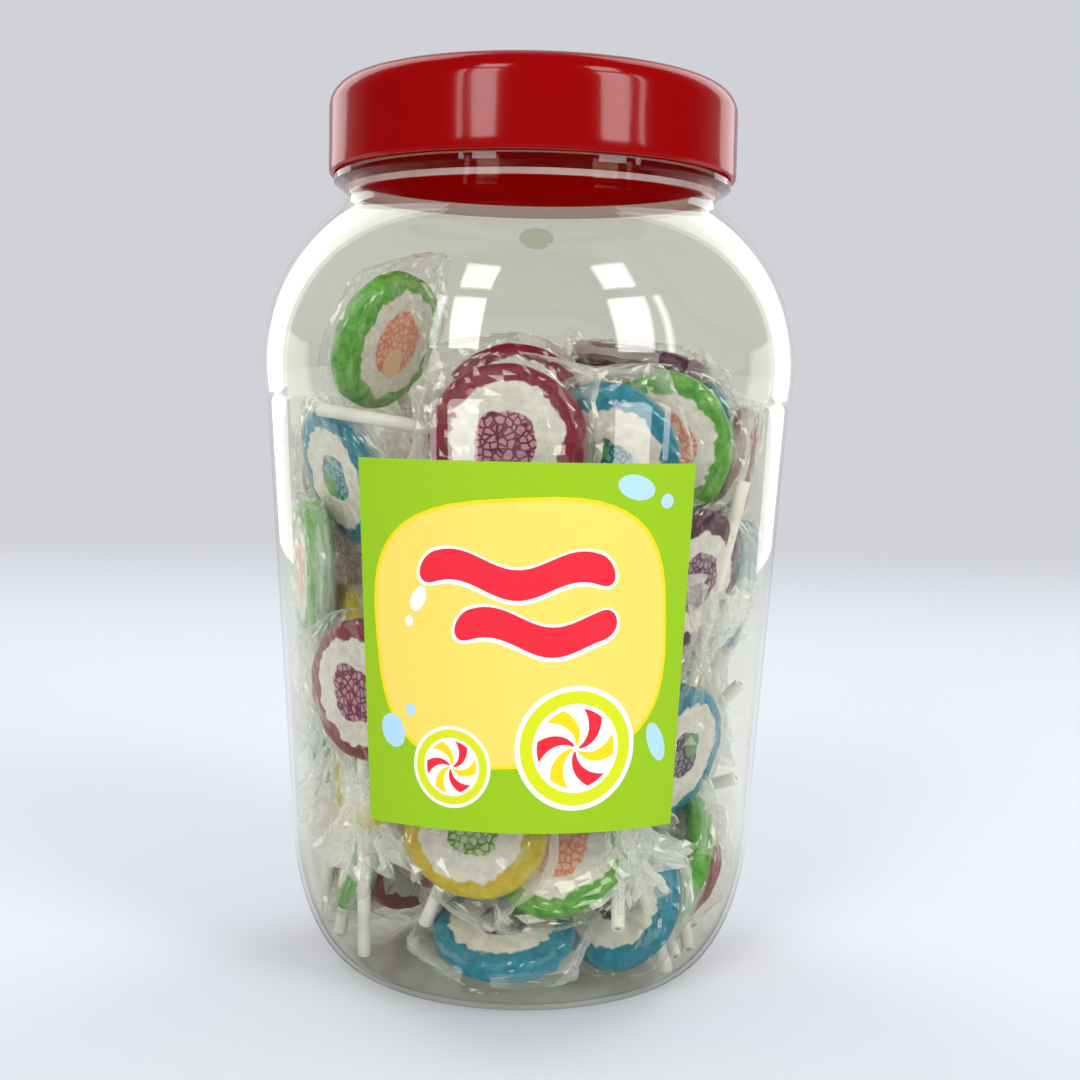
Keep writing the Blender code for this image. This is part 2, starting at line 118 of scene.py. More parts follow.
# The lollipops that show best, listed one by one: colour, degrees round from the front (to the right is
# positive), height, inset of the centre from the wall, turn of the face away from the wall to the
# right and downwards, and the stick's direction, clockwise from up.
LEADERS = (
    ("crimson", -6, 0.1505, 0.0125, -4, 6, 180),
    ("teal", 23, 0.1460, 0.0210, -35, 16, 279),
    ("green", 47, 0.1500, 0.0250, -55, 4, 196),
    ("maroon", 84, 0.1720, 0.0420, -173, 80, 290),
    ("green", -49, 0.1755, 0.0250, 108, 20, 135),
    ("teal", -66, 0.1385, 0.0150, 10, 16, 205),
    ("crimson", -46, 0.0850, 0.0095, 2, 0, 187),
    ("yellow", -58, 0.0620, 0.0170, 10, -4, 320),
    ("maroon", 47, 0.1148, 0.0115, 0, 12, 188),
    ("teal", 60, 0.0640, 0.0140, -12, 8, 3),
    ("yellow", -12, 0.0478, 0.0145, -14, 4, 52),
    ("green", 14, 0.0440, 0.0240, -26, -24, 330),
    ("teal", -4, 0.0165, 0.0220, 0, -75, 15),
    ("teal", 40, 0.0270, 0.0200, -78, -20, 345),
    ("crimson", 84, 0.1405, 0.0120, 0, 6, 170),
    ("teal", 84, 0.1100, 0.0120, 10, 8, 160),
    ("green", 74, 0.0360, 0.0130, 16, 12, 95),
    ("crimson", -9, 0.1570, 0.0330, 16, -30, 200),
    ("green", 76, 0.0970, 0.0280, -10, 0, 8),
    ("yellow", 56, 0.0880, 0.0290, -20, 4, 198),
    ("maroon", 90, 0.1180, 0.0520, -90, 0, 336),
    ("crimson", -46, 0.0440, 0.0300, -42, 0, 60),
    ("yellow", -72, 0.0900, 0.0125, 10, 0, 195),
    ("green", -76, 0.1120, 0.0125, 6, 0, 190),
    ("teal", -94, 0.0640, 0.0125, -4, 4, 340),
    ("green", -72, 0.0360, 0.0150, -10, -14, 350),
)

COLOURS = ("crimson", "teal", "yellow", "green", "maroon")
RING_HEIGHTS = (0.019, 0.048, 0.076, 0.104, 0.131, 0.156)
WALL_RING_COUNT = 11
WALL_RING_INSET = 0.0100
INNER_RING_COUNT = 5
INNER_RING_RADIUS = 0.0280
FILL_SPREAD = 0.0420
FILL_HEIGHTS = (0.0800, 0.1620)
LEADERS_FRONT = 62.0
STICKS_UP_BELOW = 0.0900
BEHIND_LABEL_FROM = 0.0900
BEHIND_LABEL_TO = 0.1200
LEADER_ROOM = 0.0260
SETTLE_STEPS = 120
SETTLE_FALL = 0.00018
NEIGHBOUR_STEPS = 8
NEIGHBOUR_MARGIN = 0.0050
TUCK_STEPS = 40
LEADER_MOBILITY = 0.02
ROUNDING = 6

# Finer than the solids: how deep lollipops are drawn, and the shapes of sweets, sticks and film
DRAWN_DEPTH = 0.0400
DRAWN_TOP = 0.1300
SWEET_SIDES = 72
SWEET_LUMP = 0.006
SWEET_RIPPLE = 0.00022
SWEET_ROWS = (
    (0.30, 0.97),
    (0.56, 0.99),
    (0.74, 0.98),
    (0.86, 0.94),
    (0.94, 0.82),
    (0.985, 0.58),
    (1.0, 0.25),
)
STICK_SIDES = 16
STICK_HOLE = 0.0008
STICK_HOLE_DEPTH = 0.0030
FILM_CLEARANCE = 0.0005
FILM_SIDES = 56
POUCH_ROWS = 26
SKIRT_ROWS = 14
POUCH_GAP = 0.0009
POUCH_START = 0.04
POUCH_SWEEP = 0.80
POUCH_BOXY = 0.62
PULL_FROM = 0.72
PULL_REACH = 0.0045
NECK_AT = 0.0255
NECK_FILM_RADIUS = 0.0026
NECK_FOLD = 0.22
SKIRT_LENGTH = 0.0215
SKIRT_FLARE = 0.0105
SKIRT_FOLDS = 9
RAGGED_END = 0.0035
EAR_REACH = 0.0075
EAR_EDGE = 0.0012
EAR_FROM = 0.86
EAR_SPREAD = 0.13
FILM_LIFT = 0.00030
BAG_CREASE = 0.00040
SKIRT_CREASE = 0.00080
CREASE_SIZE = 0.0058
FACET_SHARE = 0.85
CORE_DEPTH = 0.0340
CORE_SIDES = 96
CORE_ENDS = (0.130, 0.012)
CORE_HEIGHTS = (0.128, 0.118, 0.100, 0.075, 0.050, 0.030, 0.014)
CORE_LUMP = 0.10
CORE_LUMP_SIZE = 0.012
UV_SPAN = 0.0500

# Camera, fitted to the jar's outline
LENS = 51.87
SENSOR = 36.0
CAMERA_AT = (0.0, -0.446, 0.1585)
CAMERA_YAW = 0.523
CAMERA_PITCH = 4.85
CAMERA_ROLL = 1.12


def linear(hex_code):
    """The linear colour of an sRGB hex value such as #A0000A."""
    shares = [int(hex_code[i : i + 2], 16) / 255 for i in (1, 3, 5)]
    return tuple(c / 12.92 if c <= 0.04045 else ((c + 0.055) / 1.055) ** 2.4 for c in shares) + (1.0,)


# Placing and settling of the heap, step for step as in the solids


def arc(centre_r, centre_z, radius_r, radius_z, first, last, count):
    """Points of an elliptical arc in the profile plane, at even steps between two angles."""
    angles = [math.radians(first + (last - first) * i / (count - 1)) for i in range(count)]
    return [(centre_r + radius_r * math.cos(a), centre_z + radius_z * math.sin(a)) for a in angles]


def wall_radius(height, depth=0.0):
    """Radius of the jar's outer wall at a height, less a depth measured into the wall."""
    if height < BODY_LOW:
        share = min(1.0, (BODY_LOW - height) / (BODY_LOW - depth))
        return FOOT_RADIUS + (BODY_LOW_RADIUS - FOOT_RADIUS - depth) * math.sqrt(1 - share * share)
    if height < BODY_TOP:
        share = (height - BODY_LOW) / (BODY_TOP - BODY_LOW)
        return BODY_LOW_RADIUS + (BODY_TOP_RADIUS - BODY_LOW_RADIUS) * share - depth
    rise = min(height - DOME_CENTRE_Z, DOME_RADIUS - depth)
    return DOME_CENTRE_R + math.sqrt((DOME_RADIUS - depth) ** 2 - rise * rise)


def turn(axis, degrees):
    """Rotation matrix about a unit axis."""
    a = math.radians(degrees)
    x, y, z = axis
    c, s, t = math.cos(a), math.sin(a), 1 - math.cos(a)
    return np.array(
        [
            [t * x * x + c, t * x * y - s * z, t * x * z + s * y],
            [t * x * y + s * z, t * y * y + c, t * y * z - s * x],
            [t * x * z - s * y, t * y * z + s * x, t * z * z + c],
        ]
    )


def facing(azimuth, radius, height, yaw, pitch, spin):
    """Centre and axes (side, stick, face) of a lollipop that looks out of the jar at an azimuth."""
    a = math.radians(azimuth)
    outward = np.array([math.sin(a), -math.cos(a), 0.0])
    up = np.array([0.0, 0.0, 1.0])
    across = np.cross(up, outward)
    swing = turn(up, yaw) @ turn(across, pitch) @ turn(outward, -spin)
    axes = np.column_stack([swing @ across, swing @ up, swing @ outward])
    return outward * radius + up * height, axes


def resting_turns(draw, azimuth, height):
    """Yaw, pitch and spin of a lollipop at the wall: most stand with the face to the wall."""
    from_front = (azimuth + 180) % 360 - 180
    lean = draw.gauss(0, 1)
    if abs(from_front) < LABEL_HALF_ANGLE + 5 and BEHIND_LABEL_FROM < height < BEHIND_LABEL_TO:
        downward = height > STICKS_UP_BELOW
        return 8 * lean, 14 if downward else -14, (180 if downward else 0) + draw.gauss(0, 10)
    upward = height < STICKS_UP_BELOW and draw.random() < 0.5
    spin = (0 if upward else 180) + 34 * lean
    if draw.random() < 0.72:
        return draw.gauss(0, 14), draw.gauss(0, 12), spin
    return draw.uniform(40, 140), draw.uniform(-60, 60), spin


def starting_places():
    """Colour, centre, axes and mobility of every lollipop before the heap settles."""
    draw = random.Random(PLACING_SEED)
    places = []
    for colour, azimuth, height, inset, yaw, pitch, spin in LEADERS:
        radius = wall_radius(height) - inset
        centre, axes = facing(azimuth, radius, height, yaw, pitch, spin)
        places.append((colour, centre, axes, LEADER_MOBILITY))
    rest = []
    for level, height in enumerate(RING_HEIGHTS):
        for step in range(WALL_RING_COUNT):
            azimuth = (step + 0.5 * (level % 2) + draw.uniform(-0.2, 0.2)) * 360 / WALL_RING_COUNT
            from_front = abs((azimuth + 180) % 360 - 180)
            if from_front < LEADERS_FRONT and not BEHIND_LABEL_FROM < height < BEHIND_LABEL_TO:
                continue
            radius = wall_radius(height) - WALL_RING_INSET
            rest.append(facing(azimuth, radius, height, *resting_turns(draw, azimuth, height)))
        for step in range(INNER_RING_COUNT):
            azimuth = (step + draw.random()) * 360 / INNER_RING_COUNT
            yaw, pitch = draw.uniform(-180, 180), draw.uniform(-50, 50)
            spin = draw.gauss(180, 34) - (180 if height < STICKS_UP_BELOW and step % 2 else 0)
            rest.append(facing(azimuth, INNER_RING_RADIUS, height, yaw, pitch, spin))
    leader_centres = [place[1] for place in places]
    clear = [
        r for r in rest if min(np.linalg.norm(r[0] - c) for c in leader_centres) > LEADER_ROOM
    ]
    while len(clear) + len(places) < LOLLY_COUNT:
        azimuth, radius = draw.uniform(0, 360), draw.uniform(0, FILL_SPREAD)
        yaw, pitch, spin = draw.uniform(-180, 180), draw.uniform(-50, 50), draw.gauss(180, 34)
        clear.append(facing(azimuth, radius, draw.uniform(*FILL_HEIGHTS), yaw, pitch, spin))
    for number, (centre, axes) in enumerate(clear[: LOLLY_COUNT - len(places)]):
        places.append((COLOURS[(number * 3 + number // 7) % len(COLOURS)], centre, axes, 1.0))
    return places


def touch_points():
    """Balls that stand for one lollipop while it settles: offsets along its axes, and radii."""
    offsets, radii = [(0.0, 0.0, 0.0)], [0.0042]
    for ring, count in ((0.0090, 6), (0.0165, 11)):
        for i in range(count):
            a = 2 * math.pi * i / count
            offsets.append((ring * math.cos(a), ring * math.sin(a), 0.0))
            radii.append(0.0042)
    for share in (0.12, 0.37, 0.62, 0.87, 1.0):
        offsets.append((0.0, CANDY_RADIUS + (STICK_TIP - CANDY_RADIUS) * share, 0.0))
        radii.append(0.0022)
    return np.array(offsets), np.array(radii)


def cross_rows(a, b):
    """Cross products of two arrays, row by row."""
    return np.stack(
        [
            a[:, 1] * b[:, 2] - a[:, 2] * b[:, 1],
            a[:, 2] * b[:, 0] - a[:, 0] * b[:, 2],
            a[:, 0] * b[:, 1] - a[:, 1] * b[:, 0],
        ],
        axis=1,
    )


def wall_pushes(points, radii):
    """How far each ball has to move to be back inside the jar's wall and above its floor."""
    push = np.zeros_like(points)
    for i, (x, y, z) in enumerate(points):
        room = wall_radius(max(z, 0.004), WALL) - radii[i] - HEAP_CLEARANCE
        reach = math.hypot(x, y)
        if reach > room:
            push[i, 0] = x * (room / reach - 1)
            push[i, 1] = y * (room / reach - 1)
        lift = PUNT_RISE + FLOOR + radii[i] + HEAP_CLEARANCE - z
        if lift > 0:
            push[i, 2] = lift
    return push


def tucked_in(centre, axes):
    """The centre moved until the whole rim and the stick's tip are clear of the wall and floor."""
    around = [2 * math.pi * i / 24 for i in range(24)]
    half = CANDY_THICKNESS / 2
    rim = CANDY_RADIUS * (1 + CANDY_WAVE)
    marks = [(rim * math.cos(a), rim * math.sin(a), side * half) for a in around for side in (-1, 1)]
    marks += [(side * STICK_RADIUS, STICK_TIP, 0.0) for side in (-1, 1)]
    arms = (axes @ np.array(marks).T).T
    for _ in range(TUCK_STEPS):
        push = wall_pushes(centre + arms, np.zeros(len(arms)))
        size = (push**2).sum(1)
        if size.max() < 1e-12:
            break
        centre = np.round(centre + push[size.argmax()] * 1.02, 7)
    return centre


def settle(places):
    """Pushes overlapping lollipops apart and lets them sink a little, keeping the leaders in place."""
    offsets, radii = touch_points()
    count, each = len(places), len(offsets)
    centres = np.array([p[1] for p in places])
    axes = np.array([p[2] for p in places])
    mobility = np.array([p[3] for p in places])
    owner = np.repeat(np.arange(count), each)
    reach = np.tile(radii, count)
    gap = reach[:, None] + reach[None, :]
    strangers = np.triu(owner[:, None] != owner[None, :])
    for step in range(SETTLE_STEPS):
        arms = np.stack([(axes[:, k, None, :] * offsets[None]).sum(-1) for k in range(3)], -1)
        arms = arms.reshape(-1, 3)
        points = centres[owner] + arms
        if step % NEIGHBOUR_STEPS == 0:
            distance2 = sum((points[:, None, k] - points[None, :, k]) ** 2 for k in range(3))
            near = np.nonzero((distance2 < (gap + NEIGHBOUR_MARGIN) ** 2) & strangers)
        line = points[near[0]] - points[near[1]]
        distance = np.sqrt((line**2).sum(1))
        close = distance < gap[near]
        a, b = near[0][close], near[1][close]
        line, distance = line[close], np.maximum(distance[close], 1e-6)[:, None]
        share = (mobility[owner[a]] / (mobility[owner[a]] + mobility[owner[b]]))[:, None]
        overlap = line / distance * (gap[a, b][:, None] - distance)
        walls = wall_pushes(points, reach)
        hit = np.nonzero(np.abs(walls).sum(1))[0]
        push = np.concatenate([overlap * share, -overlap * (1 - share), walls[hit]])
        at = np.concatenate([a, b, hit])
        who = owner[at]
        moved, turned_by = np.zeros((count, 3)), np.zeros((count, 3))
        touches, inertia = np.zeros(count), np.full(count, 1e-9)
        np.add.at(moved, who, push)
        np.add.at(turned_by, who, cross_rows(arms[at], push))
        np.add.at(touches, who, 1.0)
        np.add.at(inertia, who, (arms[at] ** 2).sum(1))
        moved /= np.maximum(touches, 1)[:, None]
        moved[:, 2] -= SETTLE_FALL * (mobility == 1.0)
        centres = np.round(centres + moved * 1.3, ROUNDING)
        for i in np.nonzero(touches)[0]:
            spin = turned_by[i] / inertia[i]
            angle = float(np.sqrt((spin**2).sum()))
            if angle > 1e-7:
                axes[i] = np.round(turn(spin / angle, math.degrees(min(angle, 0.2))) @ axes[i], 9)
    return [(places[i][0], tucked_in(centres[i], axes[i]), axes[i]) for i in range(count)]


def drawn_lollipops():
    """Every lollipop that can be seen, with the phase of its outline that the solids use."""
    draw = random.Random(7)
    drawn = []
    for colour, centre, axes in settle(starting_places()):
        depth = wall_radius(centre[2]) - math.hypot(centre[0], centre[1])
        in_solids = depth < SHOWN_DEPTH or centre[2] > SHOWN_TOP
        phase = draw.uniform(0, 2 * math.pi) if in_solids else 1.0
        if depth < DRAWN_DEPTH or centre[2] > DRAWN_TOP:
            drawn.append((colour, centre, axes, phase))
    return drawn


# Meshes


def placed(name, data):
    """A new object in the scene."""
    made = bpy.data.objects.new(name, data)
    bpy.context.scene.collection.objects.link(made)
    return made


def piece(name, vertices, faces, slot, replaced, materials, smooth=True):
    """A mesh piece of the object: rides on the one body and stands for a node of the solids."""
    mesh = bpy.data.meshes.new(name)
    mesh.from_pydata([tuple(v) for v in vertices], [], [tuple(f) for f in faces])
    for one in materials:
        mesh.materials.append(one)
    mesh.polygons.foreach_set("use_smooth", [smooth] * len(mesh.polygons))
    made = placed(name, mesh)
    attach(made, "root")
    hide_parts(replaced)
    return made


def band_faces(rings, sides, first=0):
    """Four-sided faces between rings of points, one ring after another."""
    faces = []
    for low in range(first, first + (rings - 1) * sides, sides):
        high = low + sides
        for k in range(sides):
            n = (k + 1) % sides
            faces.append((low + k, high + k, high + n, low + n))
    return faces


def capped_faces(rings, sides):
    """Faces over rings of points that lie between a first and a last point on their axis."""
    faces = band_faces(rings, sides, 1)
    top = 1 + (rings - 1) * sides
    for k in range(sides):
        n = (k + 1) % sides
        faces += [(0, 1 + k, 1 + n), (top + sides, top + n, top + k)]
    return faces


def turned_over(faces):
    """The same faces seen from the other side."""
    return [face[:1] + face[:0:-1] for face in faces]


def turned(profile, sides):
    """Vertices and faces of a closed profile turned about Z; its first and last points are on the axis."""
    angles = np.arange(sides) * 2 * math.pi / sides
    vertices = [(0.0, 0.0, profile[0][1])]
    for r, z in profile[1:-1]:
        vertices += [(r * math.sin(a), -r * math.cos(a), z) for a in angles]
    vertices.append((0.0, 0.0, profile[-1][1]))
    return vertices, capped_faces(len(profile) - 2, sides)


def sharpened(made, degrees):
    """Keeps crisp edges where two faces meet at more than an angle."""
    made.data.set_sharp_from_angle(angle=math.radians(degrees))
    return made


def jar_profile():
    """Up the inside from the floor to the rim, then down the outside to the middle of the base."""
    inside = [
        (0.0, PUNT_RISE + FLOOR),
        (PUNT_RADIUS, PUNT_EDGE_RISE + FLOOR),
        (RING_INNER_RADIUS, FLOOR),
    ]
    foot = BODY_LOW_RADIUS - FOOT_RADIUS
    inside += arc(FOOT_RADIUS, BODY_LOW, foot - WALL, BODY_LOW - FLOOR, -90, 0, 22)
    inside.append((BODY_TOP_RADIUS - WALL, BODY_TOP))
    dome, ends = DOME_RADIUS - WALL, (DOME_BOTTOM_ANGLE, DOME_TOP_ANGLE)
    inside += arc(DOME_CENTRE_R, DOME_CENTRE_Z, dome, dome, *ends, 28)
    inside += [(NECK_RADIUS - NECK_WALL, NECK_BOTTOM), (NECK_RADIUS - NECK_WALL, NECK_TOP)]
    outside = [
        (NECK_RADIUS, NECK_TOP),
        (NECK_RADIUS, COLLAR_TOP),
        (COLLAR_RADIUS - 0.0003, COLLAR_TOP),
        (COLLAR_RADIUS, COLLAR_TOP - 0.0004),
        (COLLAR_RADIUS, COLLAR_BOTTOM + 0.0003),
        (COLLAR_RADIUS - 0.0003, COLLAR_BOTTOM),
        (NECK_RADIUS + 0.0004, COLLAR_BOTTOM - COLLAR_FOOT),
        (NECK_RADIUS, NECK_BOTTOM),
    ]
    outside += arc(DOME_CENTRE_R, DOME_CENTRE_Z, DOME_RADIUS, DOME_RADIUS, *ends[::-1], 28)
    outside += [(GROOVE_RADIUS, GROOVE_Z), (BODY_TOP_RADIUS, BODY_TOP)]
    outside += arc(FOOT_RADIUS, BODY_LOW, foot, BODY_LOW, 0, -90, 22)
    outside += [(RING_INNER_RADIUS, 0.0), (PUNT_RADIUS, PUNT_EDGE_RISE), (0.0, PUNT_RISE)]
    return inside + outside


def lid_profile():
    """From the middle of the top over the rounded edge, down the skirt and back up its inside."""
    edge = LID_EDGE_RADIUS
    outside = [(0.0, LID_TOP), (LID_RADIUS - edge - 0.004, LID_TOP)]
    outside += arc(LID_RADIUS - edge, LID_TOP - edge, edge, edge, 90, 0, 14)
    outside += [
        (LID_RADIUS, LID_BOTTOM + SKIRT_FLAT),
        (LID_RADIUS, LID_BOTTOM + 0.0009),
        (LID_RADIUS - 0.0001, LID_BOTTOM + 0.0004),
        (LID_RADIUS - 0.0004, LID_BOTTOM),
    ]
    bore = LID_RADIUS - LID_SKIRT
    edge = LID_EDGE_RADIUS - LID_SKIRT
    inside = [(bore, LID_BOTTOM)]
    inside += arc(bore - edge, LID_TOP - LID_ROOF - edge, edge, edge, 0, 90, 8)
    inside.append((0.0, LID_TOP - LID_ROOF))
    return outside + inside


def jar_shell(finish, neck_foot_highlight, collar):
    """The whole jar, with finishes of their own for the neck's foot, which carries a painted highlight
    line, and the collar, which carries painted shade.
    """
    vertices, faces = turned(jar_profile(), TURNED_SIDES)
    made = piece("jar_shell", vertices, faces, "clear_plastic", "jar", [finish, neck_foot_highlight, collar])
    for face in made.data.polygons:
        x, y, z = face.center
        reach = math.hypot(x, y)
        # Faces at the neck's foot take the painted highlight line
        if reach > NECK_RADIUS - NECK_WALL / 2 and NECK_BOTTOM < z < COLLAR_BOTTOM - COLLAR_FOOT:
            face.material_index = 1
        # Faces of the collar take the darker tint of painted shade
        elif reach > NECK_RADIUS + 0.0001 and COLLAR_BOTTOM - COLLAR_FOOT < z < COLLAR_TOP + 0.0001:
            face.material_index = 2
    return sharpened(made, 28)


def gate_mark(finish):
    """The shallow oval that the blowing tool leaves on the front of the dome."""
    vertices = []
    for share, lift in GATE_ROWS:
        for k in range(GATE_SIDES):
            a = 2 * math.pi * k / GATE_SIDES
            rise = math.radians(GATE_RISE) + share * GATE_HEIGHT / 2 * math.sin(a) / DOME_RADIUS
            reach = DOME_CENTRE_R + (DOME_RADIUS + lift) * math.cos(rise)
            swing = math.radians(GATE_AZIMUTH) + share * GATE_WIDTH / 2 * math.cos(a) / reach
            height = DOME_CENTRE_Z + (DOME_RADIUS + lift) * math.sin(rise)
            vertices.append((reach * math.sin(swing), -reach * math.cos(swing), height))
    last = len(vertices) - 1
    faces = band_faces(len(GATE_ROWS), GATE_SIDES)
    faces += [tuple(range(GATE_SIDES)), tuple(range(last, last - GATE_SIDES, -1))]
    made = piece("gate_mark", vertices, faces, "clear_plastic", "jar", [finish])
    return sharpened(made, 40)


def lid_cup(finish):
    """The whole lid, shut on the jar."""
    vertices, faces = turned(lid_profile(), TURNED_SIDES)
    made = piece("lid_cup", vertices, faces, "red_plastic", "lid", [finish])
    return sharpened(made, 50)


# Label print: outlines in millimetres on the flat sheet, measured from its middle

LABEL_HEIGHT_MM = (LABEL_TOP - LABEL_BOTTOM) / MM
LABEL_WIDTH_MM = 87.0
LABEL_GRID_MM = 3.2
PETAL_LEAN = 50


def ellipse(x, y, rx, ry, power=2.0, lean=0.0, count=48):
    """A round outline; a power above 2 squares it off, and it may lean over."""
    points = []
    for i in range(count):
        a = 2 * math.pi * i / count
        c, s = math.cos(a), math.sin(a)
        u = rx * math.copysign(abs(c) ** (2 / power), c)
        v = ry * math.copysign(abs(s) ** (2 / power), s)
        t = math.radians(lean)
        points.append((x + u * math.cos(t) - v * math.sin(t), y + u * math.sin(t) + v * math.cos(t)))
    return points


def ribbon(x, y, length, width, wave, waves, count=40):
    """A wavy band with round ends."""
    points = []
    for side in (1, -1):
        for i in range(count):
            a = math.pi * i / (count - 1)
            t = (1 - math.cos(a)) / 2 if side > 0 else (1 + math.cos(a)) / 2
            past_end = max(0.0, 1 - min(t, 1 - t) * length / (width / 2))
            taper = math.sqrt(max(0.0, 1 - past_end**2))
            height = wave * math.sin(2 * math.pi * waves * t)
            points.append((x + length * (t - 0.5), y + height + side * width / 2 * taper))
    return points


def petal(x, y, inner, outer, start, sweep, count=12):
    """One curved wedge of a pinwheel sweet."""
    edge = [(i / (count - 1), start + PETAL_LEAN * i / (count - 1)) for i in range(count)]
    rim = [(1.0, start + PETAL_LEAN + sweep * i / 6) for i in range(1, 7)]
    back = [(t, degrees + sweep) for t, degrees in edge[-2::-1]]
    points = []
    for t, degrees in edge + rim + back:
        radius, a = inner + (outer - inner) * t, math.radians(degrees)
        points.append((x + radius * math.cos(a), y + radius * math.sin(a)))
    return points


def pinwheel(x, y, radius):
    """A round boiled sweet, as anyone draws one: pale rim, white face and curved wedges."""
    shapes = []
    for ink, share in (("white", 1.09), ("lime_yellow", 1.0), ("white", 0.78)):
        shapes.append((ink, ellipse(x, y, radius * share, radius * share)))
    for k in range(6):
        colour = "red" if k % 2 == 0 else "gold"
        shapes.append((colour, petal(x, y, 0.06 * radius, radius * 0.70, 60 * k, 30)))
    return shapes


def label_shapes():
    """The printed shapes, lowest first."""
    shapes = [
        ("gold", ellipse(-1.0, 4.0, 38.6, 33.6, 3.0, 4)),
        ("butter", ellipse(-1.0, 4.0, 37.8, 32.8, 3.0, 4)),
        ("white", ribbon(-2.0, 18.4, 50.5, 9.4, 2.4, 1.5)),
        ("red", ribbon(-2.0, 18.6, 49.0, 7.6, 2.4, 1.5)),
        ("white", ribbon(3.0, 4.4, 42.5, 9.4, 2.4, 1.25)),
        ("red", ribbon(3.0, 4.6, 41.0, 7.6, 2.4, 1.25)),
        ("pale_blue", ellipse(27.0, 40.4, 5.0, 3.0, lean=-14)),
        ("pale_blue", ellipse(35.6, 37.0, 1.8, 1.8, count=24)),
        ("pale_blue", ellipse(-35.0, -22.0, 3.4, 4.4, lean=20)),
        ("pale_blue", ellipse(-29.6, -16.2, 1.5, 1.5, count=24)),
        ("pale_blue", ellipse(36.6, -24.0, 2.4, 5.4, lean=24)),
        ("white", ellipse(-27.0, 12.0, 1.9, 3.4, lean=-24)),
        ("white", ellipse(-29.6, 6.2, 1.1, 1.4, count=24)),
    ]
    shapes += pinwheel(14.0, -24.5, 14.6)
    shapes += pinwheel(-18.5, -30.0, 9.6)
    return shapes


def inside(outline, x, y):
    """Whether a point is within an outline."""
    crossed = False
    for (x0, y0), (x1, y1) in zip(outline, outline[1:] + outline[:1]):
        if (y0 > y) != (y1 > y) and x < (x1 - x0) * (y - y0) / (y1 - y0) + x0:
            crossed = not crossed
    return crossed


def on_wall(u, v, lift):
    """The point on the tapering wall under a place on the flat label."""
    height = (LABEL_BOTTOM + LABEL_TOP) / 2 + v * MM
    angle = math.radians(LABEL_HALF_ANGLE * 2 * u / LABEL_WIDTH_MM)
    radius = wall_radius(height) + LABEL_GAP + lift
    return (radius * math.sin(angle), -radius * math.cos(angle), height)


def label_sheet(inks):
    """One closed sheet whose front is cut along the edges of the printed shapes."""
    half_w, half_h = LABEL_WIDTH_MM / 2, LABEL_HEIGHT_MM / 2
    columns, rows = round(LABEL_WIDTH_MM / LABEL_GRID_MM), round(LABEL_HEIGHT_MM / LABEL_GRID_MM)
    flat = [
        (-half_w + LABEL_WIDTH_MM * i / columns, -half_h + LABEL_HEIGHT_MM * j / rows)
        for j in range(rows + 1)
        for i in range(columns + 1)
    ]
    edges = []
    shapes = label_shapes()
    for _, outline in shapes:
        first = len(flat)
        flat += outline
        edges += [(first + i, first + (i + 1) % len(outline)) for i in range(len(outline))]
    spots, _, cells, _, _, _ = delaunay_2d_cdt([Vector(p) for p in flat], edges, [], 0, 1e-4)
    count = len(spots)
    front = [on_wall(p.x, p.y, LABEL_THICKNESS) for p in spots]
    back = [on_wall(p.x, p.y, 0.0) for p in spots]
    names = list(inks)
    faces, colours, sides = [], [], {}
    for cell in cells:
        a, b, c = (spots[i] for i in cell)
        if (b - a).cross(c - a) < 0:
            cell = cell[::-1]
        middle = (a + b + c) / 3
        ink = "lime"
        for name, outline in shapes:
            if inside(outline, middle.x, middle.y):
                ink = name
        faces.append(tuple(cell))
        colours.append(names.index(ink))
        faces.append(tuple(count + i for i in reversed(cell)))
        colours.append(names.index("white"))
        for p, q in zip(cell, cell[1:] + cell[:1]):
            if (q, p) in sides:
                del sides[(q, p)]
            else:
                sides[(p, q)] = True
    for p, q in sides:
        faces.append((q, p, count + p, count + q))
        colours.append(names.index("white"))
    made = piece("label_sheet", front + back, faces, "printed_label", "label", list(inks.values()))
    made.data.polygons.foreach_set("material_index", colours)
    return sharpened(made, 40)


# Lollipops: sweets, sticks and film


def sweet_mesh(centre, axes, phase, seed):
    """Vertices, faces and flat coordinates of one uneven slice with softly rounded, lumpy edges."""
    draw = random.Random(seed)
    lumps = []
    for number in (3, 5, 8, 13):
        lumps.append((number, draw.uniform(0, 2 * math.pi), draw.uniform(0.3, 1.0) * SWEET_LUMP))
    half = CANDY_THICKNESS / 2
    rows = SWEET_ROWS + tuple((share, -level) for share, level in reversed(SWEET_ROWS))
    local = [(0.0, 0.0, half * 0.96)]
    for share, level in rows:
        for k in range(SWEET_SIDES):
            a = 2 * math.pi * k / SWEET_SIDES
            wave = 1 + CANDY_WAVE * math.sin(2 * a + phase)
            wave += sum(size * math.sin(n * a + p) for n, p, size in lumps) - 0.012
            radius = CANDY_RADIUS * share * (1 + (wave - 1) * share)
            ripple = SWEET_RIPPLE * share * math.sin(9 * a + seed) * math.sin(4 * a + 2 * seed)
            local.append((radius * math.cos(a), radius * math.sin(a), half * level + ripple))
    local.append((0.0, 0.0, -half * 0.96))
    local = np.array(local)
    flat = local[:, :2] / UV_SPAN + 0.5
    return centre + local @ axes.T, capped_faces(len(rows), SWEET_SIDES), flat


